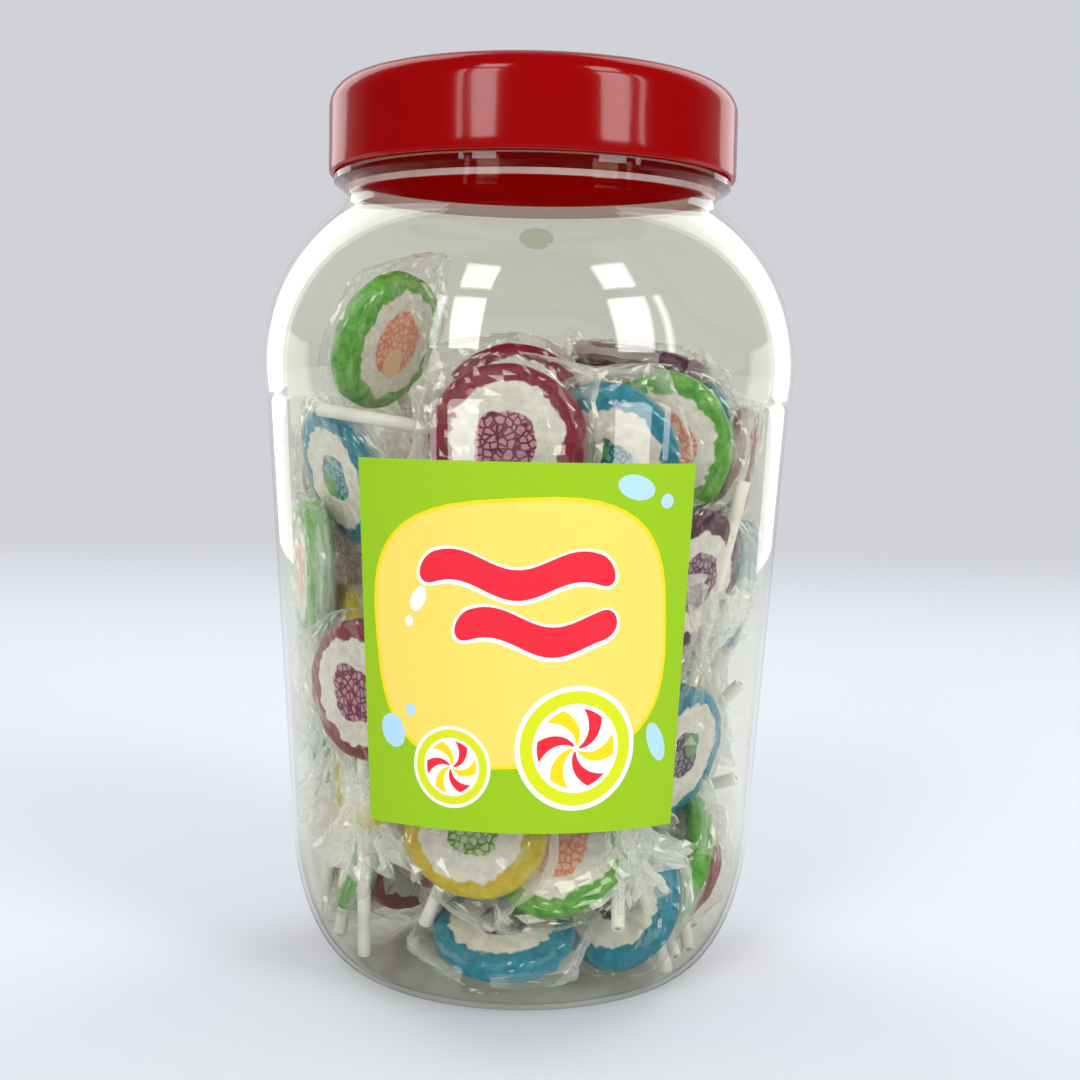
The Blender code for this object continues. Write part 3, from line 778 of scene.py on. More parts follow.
def stick_mesh(centre, axes):
    """Vertices and faces of one rolled paper stick with the small hollow in its end."""
    rings = [
        (STICK_RADIUS, STICK_ROOT),
        (STICK_RADIUS, STICK_TIP - 0.0002),
        (STICK_RADIUS - 0.00015, STICK_TIP),
        (STICK_HOLE, STICK_TIP),
        (STICK_HOLE, STICK_TIP - STICK_HOLE_DEPTH),
    ]
    local = [(0.0, STICK_ROOT, 0.0)]
    for radius, along in rings:
        for k in range(STICK_SIDES):
            a = 2 * math.pi * k / STICK_SIDES
            local.append((radius * math.cos(a), along, -radius * math.sin(a)))
    local.append((0.0, STICK_TIP - STICK_HOLE_DEPTH, 0.0))
    faces = turned_over(capped_faces(len(rings), STICK_SIDES))
    return centre + np.array(local) @ axes.T, faces


def kept_inside(points):
    """Film points pressed back inside the wall and above the floor."""
    out = np.array(points)
    for i, (x, y, z) in enumerate(out):
        z = max(z, PUNT_RISE + FLOOR + FILM_CLEARANCE)
        room = wall_radius(max(z, 0.004), WALL) - FILM_CLEARANCE
        reach = math.hypot(x, y)
        if reach > room:
            x, y = x * room / reach, y * room / reach
        out[i] = (x, y, z)
    return out


def crumple(point, size):
    """Sharp-creased displacement of thin film, from -1 to 1."""
    folds = noise.noise(Vector(point) / size)
    finer = noise.noise(Vector(point) / (size * 0.45) + Vector((7.0, 3.0, 1.0)))
    return 1.4 * (0.35 - abs(folds)) + 0.7 * (0.3 - abs(finer))


def film_mesh(centre, axes, seed):
    """Vertices and faces of one film bag: tight over the sweet, gathered at the stick, then flared."""
    draw = random.Random(1000 + seed)
    gathers = draw.choice((13, 15, 17))
    twist = draw.uniform(-40, 40)
    phase = draw.uniform(0, 2 * math.pi)
    lopsided = draw.uniform(-0.25, 0.25)
    flare = SKIRT_FLARE * draw.uniform(0.8, 1.25)
    length = SKIRT_LENGTH * draw.uniform(0.8, 1.2)
    ears = [(EAR_REACH * draw.uniform(0.3, 1.0), draw.uniform(0.18, 0.42)) for _ in range(2)]
    half = CANDY_THICKNESS / 2 + POUCH_GAP
    reach = CANDY_RADIUS * (1 + CANDY_WAVE) + POUCH_GAP
    rows = []
    for i in range(POUCH_ROWS):
        t = i / (POUCH_ROWS - 1)
        a = math.pi * (POUCH_START + POUCH_SWEEP * t)
        y = -reach * math.cos(a)
        w = reach * math.sin(a)
        pull = max(0.0, (t - PULL_FROM) / (1 - PULL_FROM))
        y += pull * pull * PULL_REACH
        rows.append((y, w * (1 - 0.55 * pull * pull), half * (1 - 0.30 * pull), 0.02 + 0.14 * t**3))
    last_y, last_w, last_h, last_fold = rows[-1]
    for i in range(1, 6):
        t = i / 5
        ease = t * t * (3 - 2 * t)
        w = last_w + (NECK_FILM_RADIUS - last_w) * ease
        h = last_h + (NECK_FILM_RADIUS - last_h) * ease
        rows.append((last_y + (NECK_AT - last_y) * t, w, h, last_fold + (NECK_FOLD - last_fold) * t))
    neck_row = len(rows)
    for i in range(1, SKIRT_ROWS + 1):
        t = i / SKIRT_ROWS
        w = NECK_FILM_RADIUS + flare * t**1.3
        h = NECK_FILM_RADIUS + flare * (0.62 + lopsided) * t**1.3
        rows.append((NECK_AT + length * t, w, h, NECK_FOLD + 0.30 * t))
    ragged = [draw.uniform(-1, 1) for _ in range(9)]
    local = []
    for row, (y, w, h, fold) in enumerate(rows):
        t = max(0.0, (row - neck_row) / SKIRT_ROWS)
        for k in range(FILM_SIDES):
            a = 2 * math.pi * k / FILM_SIDES
            c, s = math.cos(a), math.sin(a)
            boxy = POUCH_BOXY if row < POUCH_ROWS else 1.0
            x = w * math.copysign(abs(c) ** boxy, c)
            if row < POUCH_ROWS:
                size, at = ears[c > 0]
                ear = EAR_EDGE + size * math.exp(-(((row / POUCH_ROWS - at) / EAR_SPREAD) ** 2))
                x += math.copysign(ear, c) * max(0.0, (abs(c) - EAR_FROM) / (1 - EAR_FROM))
            z = h * math.copysign(abs(s) ** boxy, s)
            n = gathers if row < neck_row else SKIRT_FOLDS
            crease = 1 + fold * (abs(math.sin(n * a / 2 + phase + twist * t * 0.02)) * 2 - 1.1)
            end = t * RAGGED_END * ragged[k * len(ragged) // FILM_SIDES]
            local.append((x * crease, y + end, z * crease))
    local = np.array(local)
    points = centre + local @ axes.T
    outward = local.copy()
    outward[:, 1] *= 0.25
    outward /= np.maximum(np.sqrt((outward**2).sum(1)), 1e-6)[:, None]
    outward = outward @ axes.T
    after = len(rows) - POUCH_ROWS
    amount = np.repeat([BAG_CREASE] * POUCH_ROWS + [SKIRT_CREASE] * after, FILM_SIDES)
    push = np.array([crumple(p + seed * 0.1, CREASE_SIZE) for p in points]) * amount + FILM_LIFT
    jitter = np.array([[draw.uniform(-1, 1) for _ in range(3)] for _ in points])
    points = kept_inside(points + outward * push[:, None] + jitter * (amount * FACET_SHARE)[:, None])
    around = np.tile(np.abs(np.arange(FILM_SIDES) / FILM_SIDES * 2 - 1), len(rows)) + 2 * seed
    along = [0.5 * row / POUCH_ROWS for row in range(POUCH_ROWS)]
    along += [0.5 + 0.5 * row / (after - 1) for row in range(after)]
    faces = turned_over(band_faces(len(rows), FILM_SIDES))
    return points, faces, np.stack([around, np.repeat(along, FILM_SIDES)], 1)


def gathered_parts(parts):
    """Joins (vertices, faces) pairs into one pair."""
    vertices, faces, start = [], [], 0
    for points, cells in parts:
        vertices.append(points)
        faces += [tuple(start + i for i in cell) for cell in cells]
        start += len(points)
    return np.concatenate(vertices), faces


def fill_jar(drawn, sugars, paper, film, shade):
    """The heap: one piece of sweets and one of film for each flavour, the sticks, and a hidden core."""
    for flavour in COLOURS:
        own = [(i, lolly) for i, lolly in enumerate(drawn) if lolly[0] == flavour]
        sweets = [sweet_mesh(centre, axes, phase, i) for i, (_, centre, axes, phase) in own]
        bags = [film_mesh(centre, axes, i) for i, (_, centre, axes, _) in own]
        for kind, meshes, finish in (("sweets", sweets, sugars[flavour]), ("film", bags, film)):
            joined = gathered_parts([mesh[:2] for mesh in meshes])
            name, smooth = f"{flavour}_{kind}", kind == "sweets"
            made = piece(name, *joined, "boiled_sugar", "lollipops", [finish], smooth)
            map_flat(made, [mesh[2] for mesh in meshes])
    sticks = gathered_parts([stick_mesh(centre, axes) for _, centre, axes, _ in drawn])
    sharpened(piece("paper_sticks", *sticks, "boiled_sugar", "lollipops", [paper]), 40)
    heap_core(shade)


def map_flat(made, flats):
    """Gives every vertex its flat place on its own sweet or bag, as a UV map."""
    flat = np.concatenate(flats).astype(np.float32)
    layer = made.data.uv_layers.new(name="flat")
    corners = np.zeros(len(made.data.loops), np.int32)
    made.data.loops.foreach_get("vertex_index", corners)
    layer.data.foreach_set("uv", flat[corners].ravel())


def heap_core(shade):
    """The lumpy hidden middle of the heap, deep behind the lollipops that show."""
    profile = [(wall_radius(height) - CORE_DEPTH, height) for height in CORE_HEIGHTS]
    profile = [(0.0, CORE_ENDS[0]), *profile, (0.0, CORE_ENDS[1])]
    vertices, faces = turned(profile, CORE_SIDES)
    lumpy = []
    for x, y, z in vertices:
        push = 1 + CORE_LUMP * noise.noise(Vector((x, y, z)) / CORE_LUMP_SIZE)
        lumpy.append((x * push, y * push, z))
    piece("heap_core", lumpy, faces, "boiled_sugar", "lollipops", [shade])


# Finishes

FACTOR, A, B = 0, 6, 7
LOW, HIGH = 2, 3
WHITE = (1.0, 1.0, 1.0, 1.0)
LID_GLOW = 0.40


def per(length_mm):
    """Scale of a pattern whose features are a length in millimetres apart."""
    return 1 / (length_mm * MM)


def add(tree, kind, inputs=None, stops=None, **settings):
    """Adds one shader node with its settings, the values and links of its inputs, and a ramp's stops.

    An input that is given a node is linked to the first of that node's outputs that is in use.
    """
    made = tree.nodes.new("ShaderNode" + kind)
    for name, value in settings.items():
        setattr(made, name, value)
    for socket, value in (inputs or {}).items():
        if isinstance(value, bpy.types.Node):
            value = next(output for output in value.outputs if output.enabled)
        if isinstance(value, bpy.types.NodeSocket):
            tree.links.new(value, made.inputs[socket])
        else:
            made.inputs[socket].default_value = value
    if stops:
        ramp = made.color_ramp.elements
        while len(ramp) < len(stops):
            ramp.new(0.5)
        for element, (at, colour) in zip(ramp, stops):
            element.position = at
            element.color = colour
    return made


def new_finish(name):
    """An empty material, its node tree and the place on the object in metres."""
    made = bpy.data.materials.new(name)
    made.use_nodes = True
    tree = made.node_tree
    tree.nodes.clear()
    return made, tree, add(tree, "TexCoord").outputs["Object"]


def surfaced(made, shader):
    """Ends a finish with its surface shader."""
    out = made.node_tree.nodes.new("ShaderNodeOutputMaterial")
    made.node_tree.links.new(shader.outputs[0], out.inputs["Surface"])
    return made


def mirror_share(tree, head_on, most, relief=None):
    """How much a thin clear wall mirrors, alike from both sides: little head on, most when grazed."""
    bent = {"Normal": relief} if relief else {}
    graze = add(tree, "LayerWeight", {"Blend": 0.5, **bent}).outputs["Facing"]
    steep = add(tree, "Math", {0: graze, 1: 5.0}, operation="POWER")
    return add(tree, "MapRange", {"Value": steep, "To Min": head_on, "To Max": most})


def lamps_pass(tree, surface, tint):
    """Lets lamp light and diffuse light straight through a clear surface, tinted, and keeps its look."""
    path = add(tree, "LightPath").outputs
    plain = add(tree, "Math", {0: path["Is Shadow Ray"], 1: path["Is Diffuse Ray"]}, operation="MAXIMUM")
    through = add(tree, "BsdfTransparent", {"Color": linear(tint)})
    return add(tree, "MixShader", {0: plain, 1: surface, 2: through})


def clear_pet(name, tint, mirror):
    """Blow-moulded PET: clear and faintly warm, glossy, with the slow waviness that blowing leaves; the
    collar's darker tint is painted shade.
    """
    made, tree, at = new_finish(name)
    waves = add(tree, "TexNoise", {"Vector": at, "Scale": per(24), "Detail": 1.0})
    relief = add(tree, "Bump", {"Height": waves, "Strength": 0.10, "Distance": 1.2 * MM})
    shine = add(tree, "BsdfGlossy", {"Color": WHITE, "Roughness": 0.03, "Normal": relief})
    through = add(tree, "BsdfTransparent", {"Color": linear(tint)})
    edge = mirror_share(tree, mirror, 1.0, relief)
    wall = add(tree, "MixShader", {0: edge, 1: through, 2: shine})
    return surfaced(made, lamps_pass(tree, wall, "#FBFBF8"))


def painted_highlight_pet():
    """PET at the foot of the neck: thick, so light gathers in it; that bright line is a painted highlight,
    milky white mixed into the clear wall.
    """
    made, tree, at = new_finish("thick edge of blown PET with a painted highlight line")
    patch = add(tree, "TexNoise", {"Vector": at, "Scale": per(9), "Detail": 2.0})
    share = add(tree, "MapRange", {"Value": patch, "To Min": 0.30, "To Max": 0.62})
    through = add(tree, "BsdfTransparent", {"Color": linear("#FBFBF6")})
    front = add(tree, "BsdfDiffuse", {"Color": linear("#FFFCF4")})
    back = add(tree, "BsdfTranslucent", {"Color": linear("#FFFCF4")})
    milk = add(tree, "MixShader", {0: 0.5, 1: front, 2: back})
    wall = add(tree, "MixShader", {0: share, 1: through, 2: milk})
    return surfaced(made, lamps_pass(tree, wall, "#FBFBF8"))


def red_polypropylene():
    """Injection-moulded polypropylene: deep red, glossy, faintly rippled, and it passes a little light."""
    made, tree, at = new_finish("moulded red polypropylene")
    ripple = add(tree, "TexNoise", {"Vector": at, "Scale": per(18), "Detail": 2.0})
    fine = add(tree, "TexNoise", {"Vector": at, "Scale": per(0.7), "Detail": 1.0})
    height = add(tree, "Math", {0: fine, 1: 0.06, 2: ripple}, operation="MULTIPLY_ADD")
    relief = add(tree, "Bump", {"Height": height, "Strength": 0.16, "Distance": 0.8 * MM})
    reds = {FACTOR: ripple, A: linear("#A20003"), B: linear("#AE0206")}
    tone = add(tree, "Mix", reds, data_type="RGBA")
    dull = add(tree, "MapRange", {"Value": fine, "To Min": 0.10, "To Max": 0.16})
    skin = add(
        tree,
        "BsdfPrincipled",
        {
            "Base Color": tone,
            "Roughness": dull,
            "Normal": relief,
            "IOR": 1.50,
            "Coat Weight": 0.35,
            "Coat Roughness": 0.04,
        },
    )
    glow = add(tree, "BsdfTranslucent", {"Color": linear("#E80A12")})
    return surfaced(made, add(tree, "MixShader", {0: LID_GLOW, 1: skin, 2: glow}))


INKS = {
    "lime": "#9BCA18",
    "butter": "#FFE068",
    "gold": "#FFDE14",
    "white": "#FBFBF6",
    "red": "#F02A3C",
    "pale_blue": "#B8E0FF",
    "lime_yellow": "#DDE81A",
}


def printed_film(name, hex_code):
    """Printed and varnished label film: flat even ink, satin, with a faint press grain."""
    made, tree, at = new_finish(f"label film printed {name}")
    grain = add(tree, "TexNoise", {"Vector": at, "Scale": per(0.6), "Detail": 2.0})
    colour = linear(hex_code)
    darker, lighter = (tuple(min(1.0, c * share) for c in colour) for share in (0.95, 1.05))
    tones = {FACTOR: grain, A: darker[:3] + (1.0,), B: lighter[:3] + (1.0,)}
    ink = add(tree, "Mix", tones, data_type="RGBA")
    dull = add(tree, "MapRange", {"Value": grain, "To Min": 0.44, "To Max": 0.54})
    relief = add(tree, "Bump", {"Height": grain, "Strength": 0.05, "Distance": 0.1 * MM})
    coat = {"Base Color": ink, "Roughness": dull, "Normal": relief, "IOR": 1.30}
    return surfaced(made, add(tree, "BsdfPrincipled", coat))


# Colours of each flavour: rim, paler rim, cells and lines of the fruit pattern, and its leaf.
# The last number is the pattern's radius in mm.
FLAVOURS = {
    "crimson": ("#74041F", "#9A1A3E", "#C05A86", "#701444", None, 8.0),
    "teal": ("#04748F", "#2499B6", "#5A3F66", "#2A1A38", "#5E9A4A", 6.6),
    "yellow": ("#C8A90C", "#DCCB48", "#A9C86A", "#5C8A34", None, 7.4),
    "green": ("#3C9424", "#7FBE4E", "#F2AE96", "#E58468", "#F2C9A0", 9.0),
    "maroon": ("#3E0A2E", "#6A2C52", "#9A5C88", "#54204C", None, 8.4),
}
SUGAR_WHITE = ("#EEEAE2", "#DAD6CE")

# Some teal sweets have a blue pattern instead: they lie above this height, in metres
BLUE_PATTERN = ("#5FB4BE", "#0A6470")
BLUE_ABOVE = 0.121

# Sizes in mm: start and full strength of the rim, its folds, the unevenness of all edges, the
# pattern's cells and lines, and the leaf's place and radius
RIM_MM = (15.3, 16.0)
RIM_FOLD_MM = 2.6
UNEVEN_MM = 5.0
CELL_MM = 1.9
LINE_MM = 0.42
LEAF_AT_MM = (3.2, 4.2, 0.0)
LEAF_MM = 4.3


def pulled_sugar(flavour):
    """Boiled sugar, pulled white, rolled in a coloured skin and cut: glossy, a little translucent."""
    rim, rim_pale, cells, lines, leaf, centre_mm = FLAVOURS[flavour]
    made, tree, at = new_finish(f"{flavour} rock sugar")
    span = UV_SPAN / MM
    middle = {"Location": (-0.5 * span, -0.5 * span, 0.0), "Scale": (span, span, 1.0)}
    slice_mm = add(tree, "Mapping", {"Vector": add(tree, "TexCoord").outputs["UV"], **middle})
    lumps = add(tree, "TexNoise", {"Vector": at, "Scale": per(6.5), "Detail": 2.0}).outputs["Color"]
    shift = add(tree, "VectorMath", {0: lumps, 1: (0.5, 0.5, 0.5)}, operation="SUBTRACT")
    uneven = {0: shift, 1: (UNEVEN_MM, UNEVEN_MM, 0.0), 2: slice_mm}
    bent = add(tree, "VectorMath", uneven, operation="MULTIPLY_ADD")
    distance = add(tree, "VectorMath", {0: bent}, operation="LENGTH")
    ray = add(tree, "VectorMath", {0: slice_mm}, operation="NORMALIZE")
    spokes = add(tree, "TexNoise", {"Vector": ray, "Scale": 5.5, "Detail": 1.0})
    folded = add(tree, "Math", {0: spokes, 1: RIM_FOLD_MM, 2: distance}, operation="MULTIPLY_ADD")
    edge = {"Value": folded, "From Min": RIM_MM[0], "From Max": RIM_MM[1]}
    rim_share = add(tree, "MapRange", edge, interpolation_type="SMOOTHSTEP")
    streaks = add(tree, "TexNoise", {"Vector": at, "Scale": per(2.8), "Detail": 4.0, "Roughness": 0.6})
    rims = ((0.34, linear(rim)), (0.72, linear(rim_pale)))
    rim_tone = add(tree, "ValToRGB", {"Fac": streaks}, rims)
    whites = ((0.35, linear(SUGAR_WHITE[1])), (0.6, linear(SUGAR_WHITE[0])))
    white_tone = add(tree, "ValToRGB", {"Fac": streaks}, whites)
    net = add(tree, "TexVoronoi", {"Vector": at, "Scale": per(CELL_MM)}, feature="DISTANCE_TO_EDGE")
    line = LINE_MM / CELL_MM
    line_share = add(tree, "MapRange", {"Value": net, "From Min": line * 0.75, "From Max": line * 0.35})
    paling = add(tree, "Math", {0: streaks, 1: 0.45}, operation="MULTIPLY")
    pale = {FACTOR: paling, A: linear(cells), B: linear(SUGAR_WHITE[0])}
    cell_tone = add(tree, "Mix", pale, data_type="RGBA")
    fruit = add(tree, "Mix", {FACTOR: line_share, A: cell_tone, B: linear(lines)}, data_type="RGBA")
    if flavour == "teal":
        level = add(tree, "SeparateXYZ", {0: at}).outputs["Z"]
        step = {"Value": level, "From Min": BLUE_ABOVE - 3 * MM, "From Max": BLUE_ABOVE + 3 * MM}
        bluer = add(tree, "MapRange", step)
        blues = {FACTOR: line_share, A: linear(BLUE_PATTERN[0]), B: linear(BLUE_PATTERN[1])}
        blue = add(tree, "Mix", blues, data_type="RGBA")
        fruit = add(tree, "Mix", {FACTOR: bluer, A: fruit, B: blue}, data_type="RGBA")
    if leaf:
        aside = add(tree, "VectorMath", {0: bent, 1: LEAF_AT_MM}, operation="DISTANCE")
        edge = {"Value": aside, "From Min": LEAF_MM + 0.3, "From Max": LEAF_MM - 0.3}
        leafy = add(tree, "MapRange", edge)
        fruit = add(tree, "Mix", {FACTOR: leafy, A: fruit, B: linear(leaf)}, data_type="RGBA")
    edge = {"Value": distance, "From Min": centre_mm + 0.3, "From Max": centre_mm - 0.3}
    centre_share = add(tree, "MapRange", edge, interpolation_type="SMOOTHSTEP")
    inner = add(tree, "Mix", {FACTOR: centre_share, A: white_tone, B: fruit}, data_type="RGBA")
    colour = add(tree, "Mix", {FACTOR: rim_share, A: inner, B: rim_tone}, data_type="RGBA")
    pits = add(tree, "TexNoise", {"Vector": at, "Scale": per(1.2), "Detail": 3.0})
    height = add(tree, "Math", {0: streaks, 1: 2.0, 2: pits}, operation="MULTIPLY_ADD")
    skin = add(
        tree,
        "BsdfPrincipled",
        {
            "Base Color": colour,
            "Roughness": add(tree, "MapRange", {"Value": pits, "To Min": 0.22, "To Max": 0.42}),
            "Normal": add(tree, "Bump", {"Height": height, "Strength": 0.45, "Distance": 0.4 * MM}),
            "IOR": 1.50,
            "Subsurface Weight": 0.12,
            "Subsurface Radius": (1.0, 0.8, 0.6),
            "Subsurface Scale": 1.5 * MM,
        },
    )
    return surfaced(made, skin)


def rolled_paper():
    """Tightly rolled white paper: matt, slightly warm, with the fibres' fine grain and faint patches."""
    made, tree, at = new_finish("rolled white paper")
    fibre = add(tree, "TexNoise", {"Vector": at, "Scale": per(0.5), "Detail": 4.0})
    patch = add(tree, "TexNoise", {"Vector": at, "Scale": per(9), "Detail": 1.0})
    mixed = add(tree, "Math", {0: fibre, 1: 0.5, 2: patch}, operation="MULTIPLY_ADD")
    whites = ((0.45, linear("#DAD6CE")), (0.95, linear("#F4F2EC")))
    tone = add(tree, "ValToRGB", {"Fac": mixed}, whites)
    relief = add(tree, "Bump", {"Height": fibre, "Strength": 0.3, "Distance": 0.1 * MM})
    dull = add(tree, "MapRange", {"Value": fibre, "To Min": 0.5, "To Max": 0.7})
    matt = {"Base Color": tone, "Roughness": dull, "Normal": relief}
    return surfaced(made, add(tree, "BsdfPrincipled", matt))


# Film folds, as a number across half a bag and along all of it: each about 2 mm wide and 5 mm long
FOLDS_ACROSS = 22.0
FOLDS_ALONG = 15.0

# How white the film's folds are over the sweet and where they gather, as ranges of each fold's own tone:
# partly the milky scatter of crumpled film, partly painted highlight for the glints of its creases
OVER_SWEET = {"From Min": 0.72, "From Max": 1.0, "To Min": 0.0, "To Max": 0.22}
GATHERED_MILK_AND_PAINTED_GLINTS = {"From Min": 0.05, "From Max": 0.95, "To Min": 0.30, "To Max": 0.98}


def crinkled_film():
    """Thin polypropylene film, gathered and crumpled: clear over the sweet, white where it folds, partly
    from the milky scatter of crumpled film and partly as painted highlight for its glints.
    """
    made, tree, _ = new_finish("crinkled clear polypropylene film")
    flat = add(tree, "TexCoord").outputs["UV"]
    place = add(tree, "SeparateXYZ", {0: flat}).outputs
    side = add(tree, "Math", {0: place["X"]}, operation="FRACT")
    off_middle = add(tree, "Math", {0: side, 1: 0.5}, operation="SUBTRACT")
    edge_share = add(tree, "Math", {0: off_middle}, operation="ABSOLUTE")
    sides = {"Value": edge_share, "From Min": 0.34, "From Max": 0.47, "To Max": 0.55}
    at_edge = add(tree, "MapRange", sides, interpolation_type="SMOOTHSTEP")
    ends = {"Value": place["Y"], "From Min": 0.40, "From Max": 0.56}
    at_neck = add(tree, "MapRange", ends, interpolation_type="SMOOTHSTEP")
    gathered = add(tree, "Math", {0: at_edge, 1: at_neck}, operation="MAXIMUM")
    stretch = {0: flat, 1: (FOLDS_ACROSS, FOLDS_ALONG, 0.0)}
    drawn_out = add(tree, "VectorMath", stretch, operation="MULTIPLY")
    folds = add(tree, "TexVoronoi", {"Vector": drawn_out, "Scale": 1.0, "Randomness": 1.0})
    tone = add(tree, "SeparateXYZ", {0: folds.outputs["Color"]}).outputs["X"]
    over_sweet = add(tree, "MapRange", {"Value": tone, **OVER_SWEET})
    in_folds_milk_and_painted_glints = add(tree, "MapRange", {"Value": tone, **GATHERED_MILK_AND_PAINTED_GLINTS})
    share = add(tree, "Mix", {FACTOR: gathered, LOW: over_sweet, HIGH: in_folds_milk_and_painted_glints}, data_type="FLOAT")
    shine = add(tree, "BsdfGlossy", {"Color": WHITE, "Roughness": 0.06})
    # White diffuse and translucent film in the folds: partly milky scatter, partly painted highlight
    # standing in for glints
    front = add(tree, "BsdfDiffuse", {"Color": linear("#FAFBF9")})
    back = add(tree, "BsdfTranslucent", {"Color": linear("#FAFBF9")})
    milk_and_painted_glints = add(tree, "MixShader", {0: 0.4, 1: front, 2: back})
    through = add(tree, "BsdfTransparent", {"Color": linear("#FCFCFB")})
    body = add(tree, "MixShader", {0: share, 1: through, 2: milk_and_painted_glints})
    bag = add(tree, "MixShader", {0: mirror_share(tree, 0.07, 0.80), 1: body, 2: shine})
    return surfaced(made, lamps_pass(tree, bag, "#FDFDFC"))


def heap_shade():
    """Sweets and film deep in the heap, too far in to tell apart: soft patches of their colours."""
    made, tree, at = new_finish("sugar and film deep in the heap")
    patch = add(tree, "TexNoise", {"Vector": at, "Scale": per(11), "Detail": 3.0})
    stops = ((0.30, "#8CC0C8"), (0.42, "#F0EEE8"), (0.50, "#E0DED6"), (0.58, "#DCE0B8"), (0.70, "#B87E92"))
    tone = add(tree, "ValToRGB", {"Fac": patch}, [(place, linear(code)) for place, code in stops])
    dull = add(tree, "MapRange", {"Value": patch, "To Min": 0.4, "To Max": 0.7})
    return surfaced(made, add(tree, "BsdfPrincipled", {"Base Color": tone, "Roughness": dull}))


# Stage: floor, light and camera

BACKDROP = "#E6E8EE"
FLOOR_SIZE = 6.0
FLOOR_SIDES = 96
FLOOR_NEAR = 0.35
FLOOR_FAR = 1.60
FLOOR_DIM_FROM = -0.02
FLOOR_DIM_TO = 0.10
FLOOR_GLOW = 0.20
WORLD_STRENGTH = 0.80
AMBIENT = 0.66

# In reflections the room behind the camera is dim, and the backdrop side is bright
ROOM_FROM = 0.10
ROOM_TO = 0.85
ROOM_GLOW = 0.06

# Panes of light as the jar sees them: degrees round from the front, degrees up, and how bright.
# Two windows that the lid and dome mirror, and a tall soft box on each side behind the jar, which
# draws the shoulders.
WINDOWS = (
    (-33.0, -20.0, 6.5, 33.0, 6.0),
    (-32.0, -20.0, 38.0, 51.0, 6.0),
    (-41.0, -38.0, 6.5, 33.0, 5.0),
    (36.0, 52.0, 6.5, 33.0, 6.0),
    (37.0, 50.0, 38.0, 51.0, 6.0),
    (58.0, 61.0, 6.5, 33.0, 5.0),
    (-150.0, -124.0, -6.0, 68.0, 1.8),
    (124.0, 150.0, -6.0, 68.0, 1.8),
)
WINDOW_DISTANCE = 1.5


def floor(colour):
    """A plain pale floor that fades into the backdrop; the jar mirrors its front part only dimly."""
    mesh = bpy.data.meshes.new("studio_floor")
    angles = [2 * math.pi * k / FLOOR_SIDES for k in range(FLOOR_SIDES)]
    ring = [(FLOOR_SIZE * math.cos(a), FLOOR_SIZE * math.sin(a), 0.0) for a in angles]
    mesh.from_pydata(ring, [], [tuple(range(FLOOR_SIDES))])
    made = placed("studio_floor", mesh)
    made.location.z = -0.2 * MM
    finish, tree, at = new_finish("pale studio floor")
    away = add(tree, "VectorMath", {0: at}, operation="LENGTH")
    reach = {"Value": away, "From Min": FLOOR_NEAR, "From Max": FLOOR_FAR}
    fade = add(tree, "MapRange", reach, interpolation_type="SMOOTHSTEP")
    near = add(tree, "BsdfDiffuse", {"Color": linear(colour)})
    far = add(tree, "Emission", {"Color": linear(colour), "Strength": WORLD_STRENGTH})
    mixed = add(tree, "MixShader", {0: fade, 1: near, 2: far})
    towards = add(tree, "SeparateXYZ", {0: at}).outputs["Y"]
    front = {"Value": towards, "From Min": FLOOR_DIM_TO, "From Max": FLOOR_DIM_FROM}
    mirrored = add(tree, "LightPath").outputs["Is Glossy Ray"]
    dimmed = add(tree, "Math", {0: add(tree, "MapRange", front), 1: mirrored}, operation="MULTIPLY")
    dark = add(tree, "Emission", {"Color": linear(colour), "Strength": FLOOR_GLOW})
    mesh.materials.append(surfaced(finish, add(tree, "MixShader", {0: dimmed, 1: mixed, 2: dark})))


def window(left, right, low, high, radiance):
    """One pane of soft daylight, placed by the angles at which the jar sees it."""
    azimuth, rise = math.radians((left + right) / 2), math.radians((low + high) / 2)
    data = bpy.data.lights.new("daylight_pane", "AREA")
    data.shape = "RECTANGLE"
    data.size = 2 * WINDOW_DISTANCE * math.tan(math.radians((right - left) / 2))
    data.size_y = 2 * WINDOW_DISTANCE * math.tan(math.radians((high - low) / 2))
    data.energy = radiance * math.pi * data.size * data.size_y
    level = math.cos(rise)
    out = Vector((math.sin(azimuth) * level, -math.cos(azimuth) * level, math.sin(rise)))
    made = placed("daylight_pane", data)
    made.location = Vector((0.0, 0.0, DOME_CENTRE_Z)) + out * WINDOW_DISTANCE
    made.rotation_euler = out.to_track_quat("Z", "Y").to_euler()


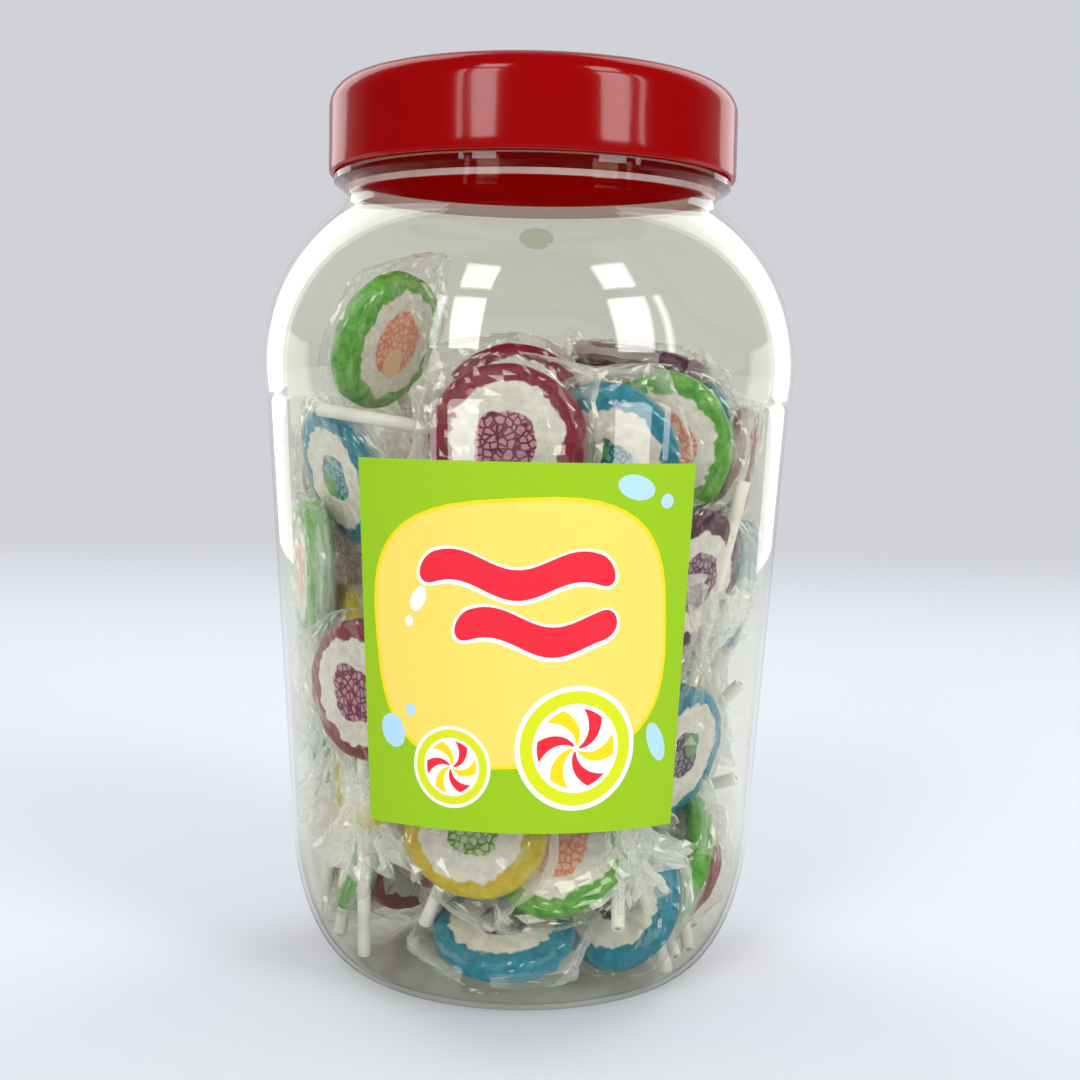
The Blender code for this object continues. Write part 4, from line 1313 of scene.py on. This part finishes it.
def studio_light():
    """An even pale surround, dim behind the camera in reflections, and the panes of light."""
    world = bpy.data.worlds.new("studio")
    bpy.context.scene.world = world
    world.use_nodes = True
    tree = world.node_tree
    tree.nodes.clear()
    direction = add(tree, "TexCoord").outputs["Generated"]
    away = add(tree, "SeparateXYZ", {0: direction}).outputs["Y"]
    room = {"Value": away, "From Min": ROOM_FROM, "From Max": ROOM_TO, "To Min": ROOM_GLOW}
    behind = add(tree, "MapRange", room, interpolation_type="SMOOTHSTEP")
    path = add(tree, "LightPath").outputs
    mirrored = add(tree, "Mix", {FACTOR: path["Is Glossy Ray"], LOW: 1.0, HIGH: behind}, data_type="FLOAT")
    levels = {FACTOR: path["Is Diffuse Ray"], LOW: WORLD_STRENGTH, HIGH: AMBIENT}
    level = add(tree, "Mix", levels, data_type="FLOAT")
    strength = add(tree, "Math", {0: mirrored, 1: level}, operation="MULTIPLY")
    glow = add(tree, "Background", {"Color": linear(BACKDROP), "Strength": strength})
    out = tree.nodes.new("ShaderNodeOutputWorld")
    tree.links.new(glow.outputs[0], out.inputs["Surface"])
    for pane in WINDOWS:
        window(*pane)


def camera():
    """The photo's viewpoint: level with the dome, looking slightly down, a little tilted."""
    data = bpy.data.cameras.new("camera")
    data.sensor_width = SENSOR
    data.lens = LENS
    made = placed("camera", data)
    yaw, pitch, roll = (math.radians(a) for a in (CAMERA_YAW, CAMERA_PITCH, CAMERA_ROLL))
    level = math.cos(pitch)
    forward = Vector((math.sin(yaw) * level, math.cos(yaw) * level, -math.sin(pitch)))
    right = forward.cross(Vector((0, 0, 1))).normalized()
    up = right.cross(forward)
    across = right * math.cos(roll) + up * math.sin(roll)
    above = up * math.cos(roll) - right * math.sin(roll)
    aim = Matrix((across, above, -forward)).transposed()
    made.matrix_world = Matrix.Translation(CAMERA_AT) @ aim.to_4x4()
    bpy.context.scene.camera = made


def main():
    """Makes the camera, the stage and every piece."""
    camera()
    scene = bpy.context.scene
    scene.view_settings.view_transform = "Standard"
    scene.cycles.transparent_max_bounces = 64
    scene.cycles.max_bounces = 7
    scene.cycles.diffuse_bounces = 3
    scene.cycles.glossy_bounces = 3
    floor(BACKDROP)
    studio_light()
    # The collar's brownish darker tint is painted shade
    collar = clear_pet("collar of blown PET with painted shade", "#C4AFA6", 0.030)
    # The neck's foot gets a painted highlight line: milky white in the clear wall
    jar_shell(clear_pet("clear blown PET", "#FDFDF8", 0.049), painted_highlight_pet(), collar)
    gate_mark(clear_pet("gate mark in blown PET", "#F3F3ED", 0.040))
    lid_cup(red_polypropylene())
    label_sheet({name: printed_film(name, hex_code) for name, hex_code in INKS.items()})
    sugars = {flavour: pulled_sugar(flavour) for flavour in FLAVOURS}
    fill_jar(drawn_lollipops(), sugars, rolled_paper(), crinkled_film(), heap_shade())


main()
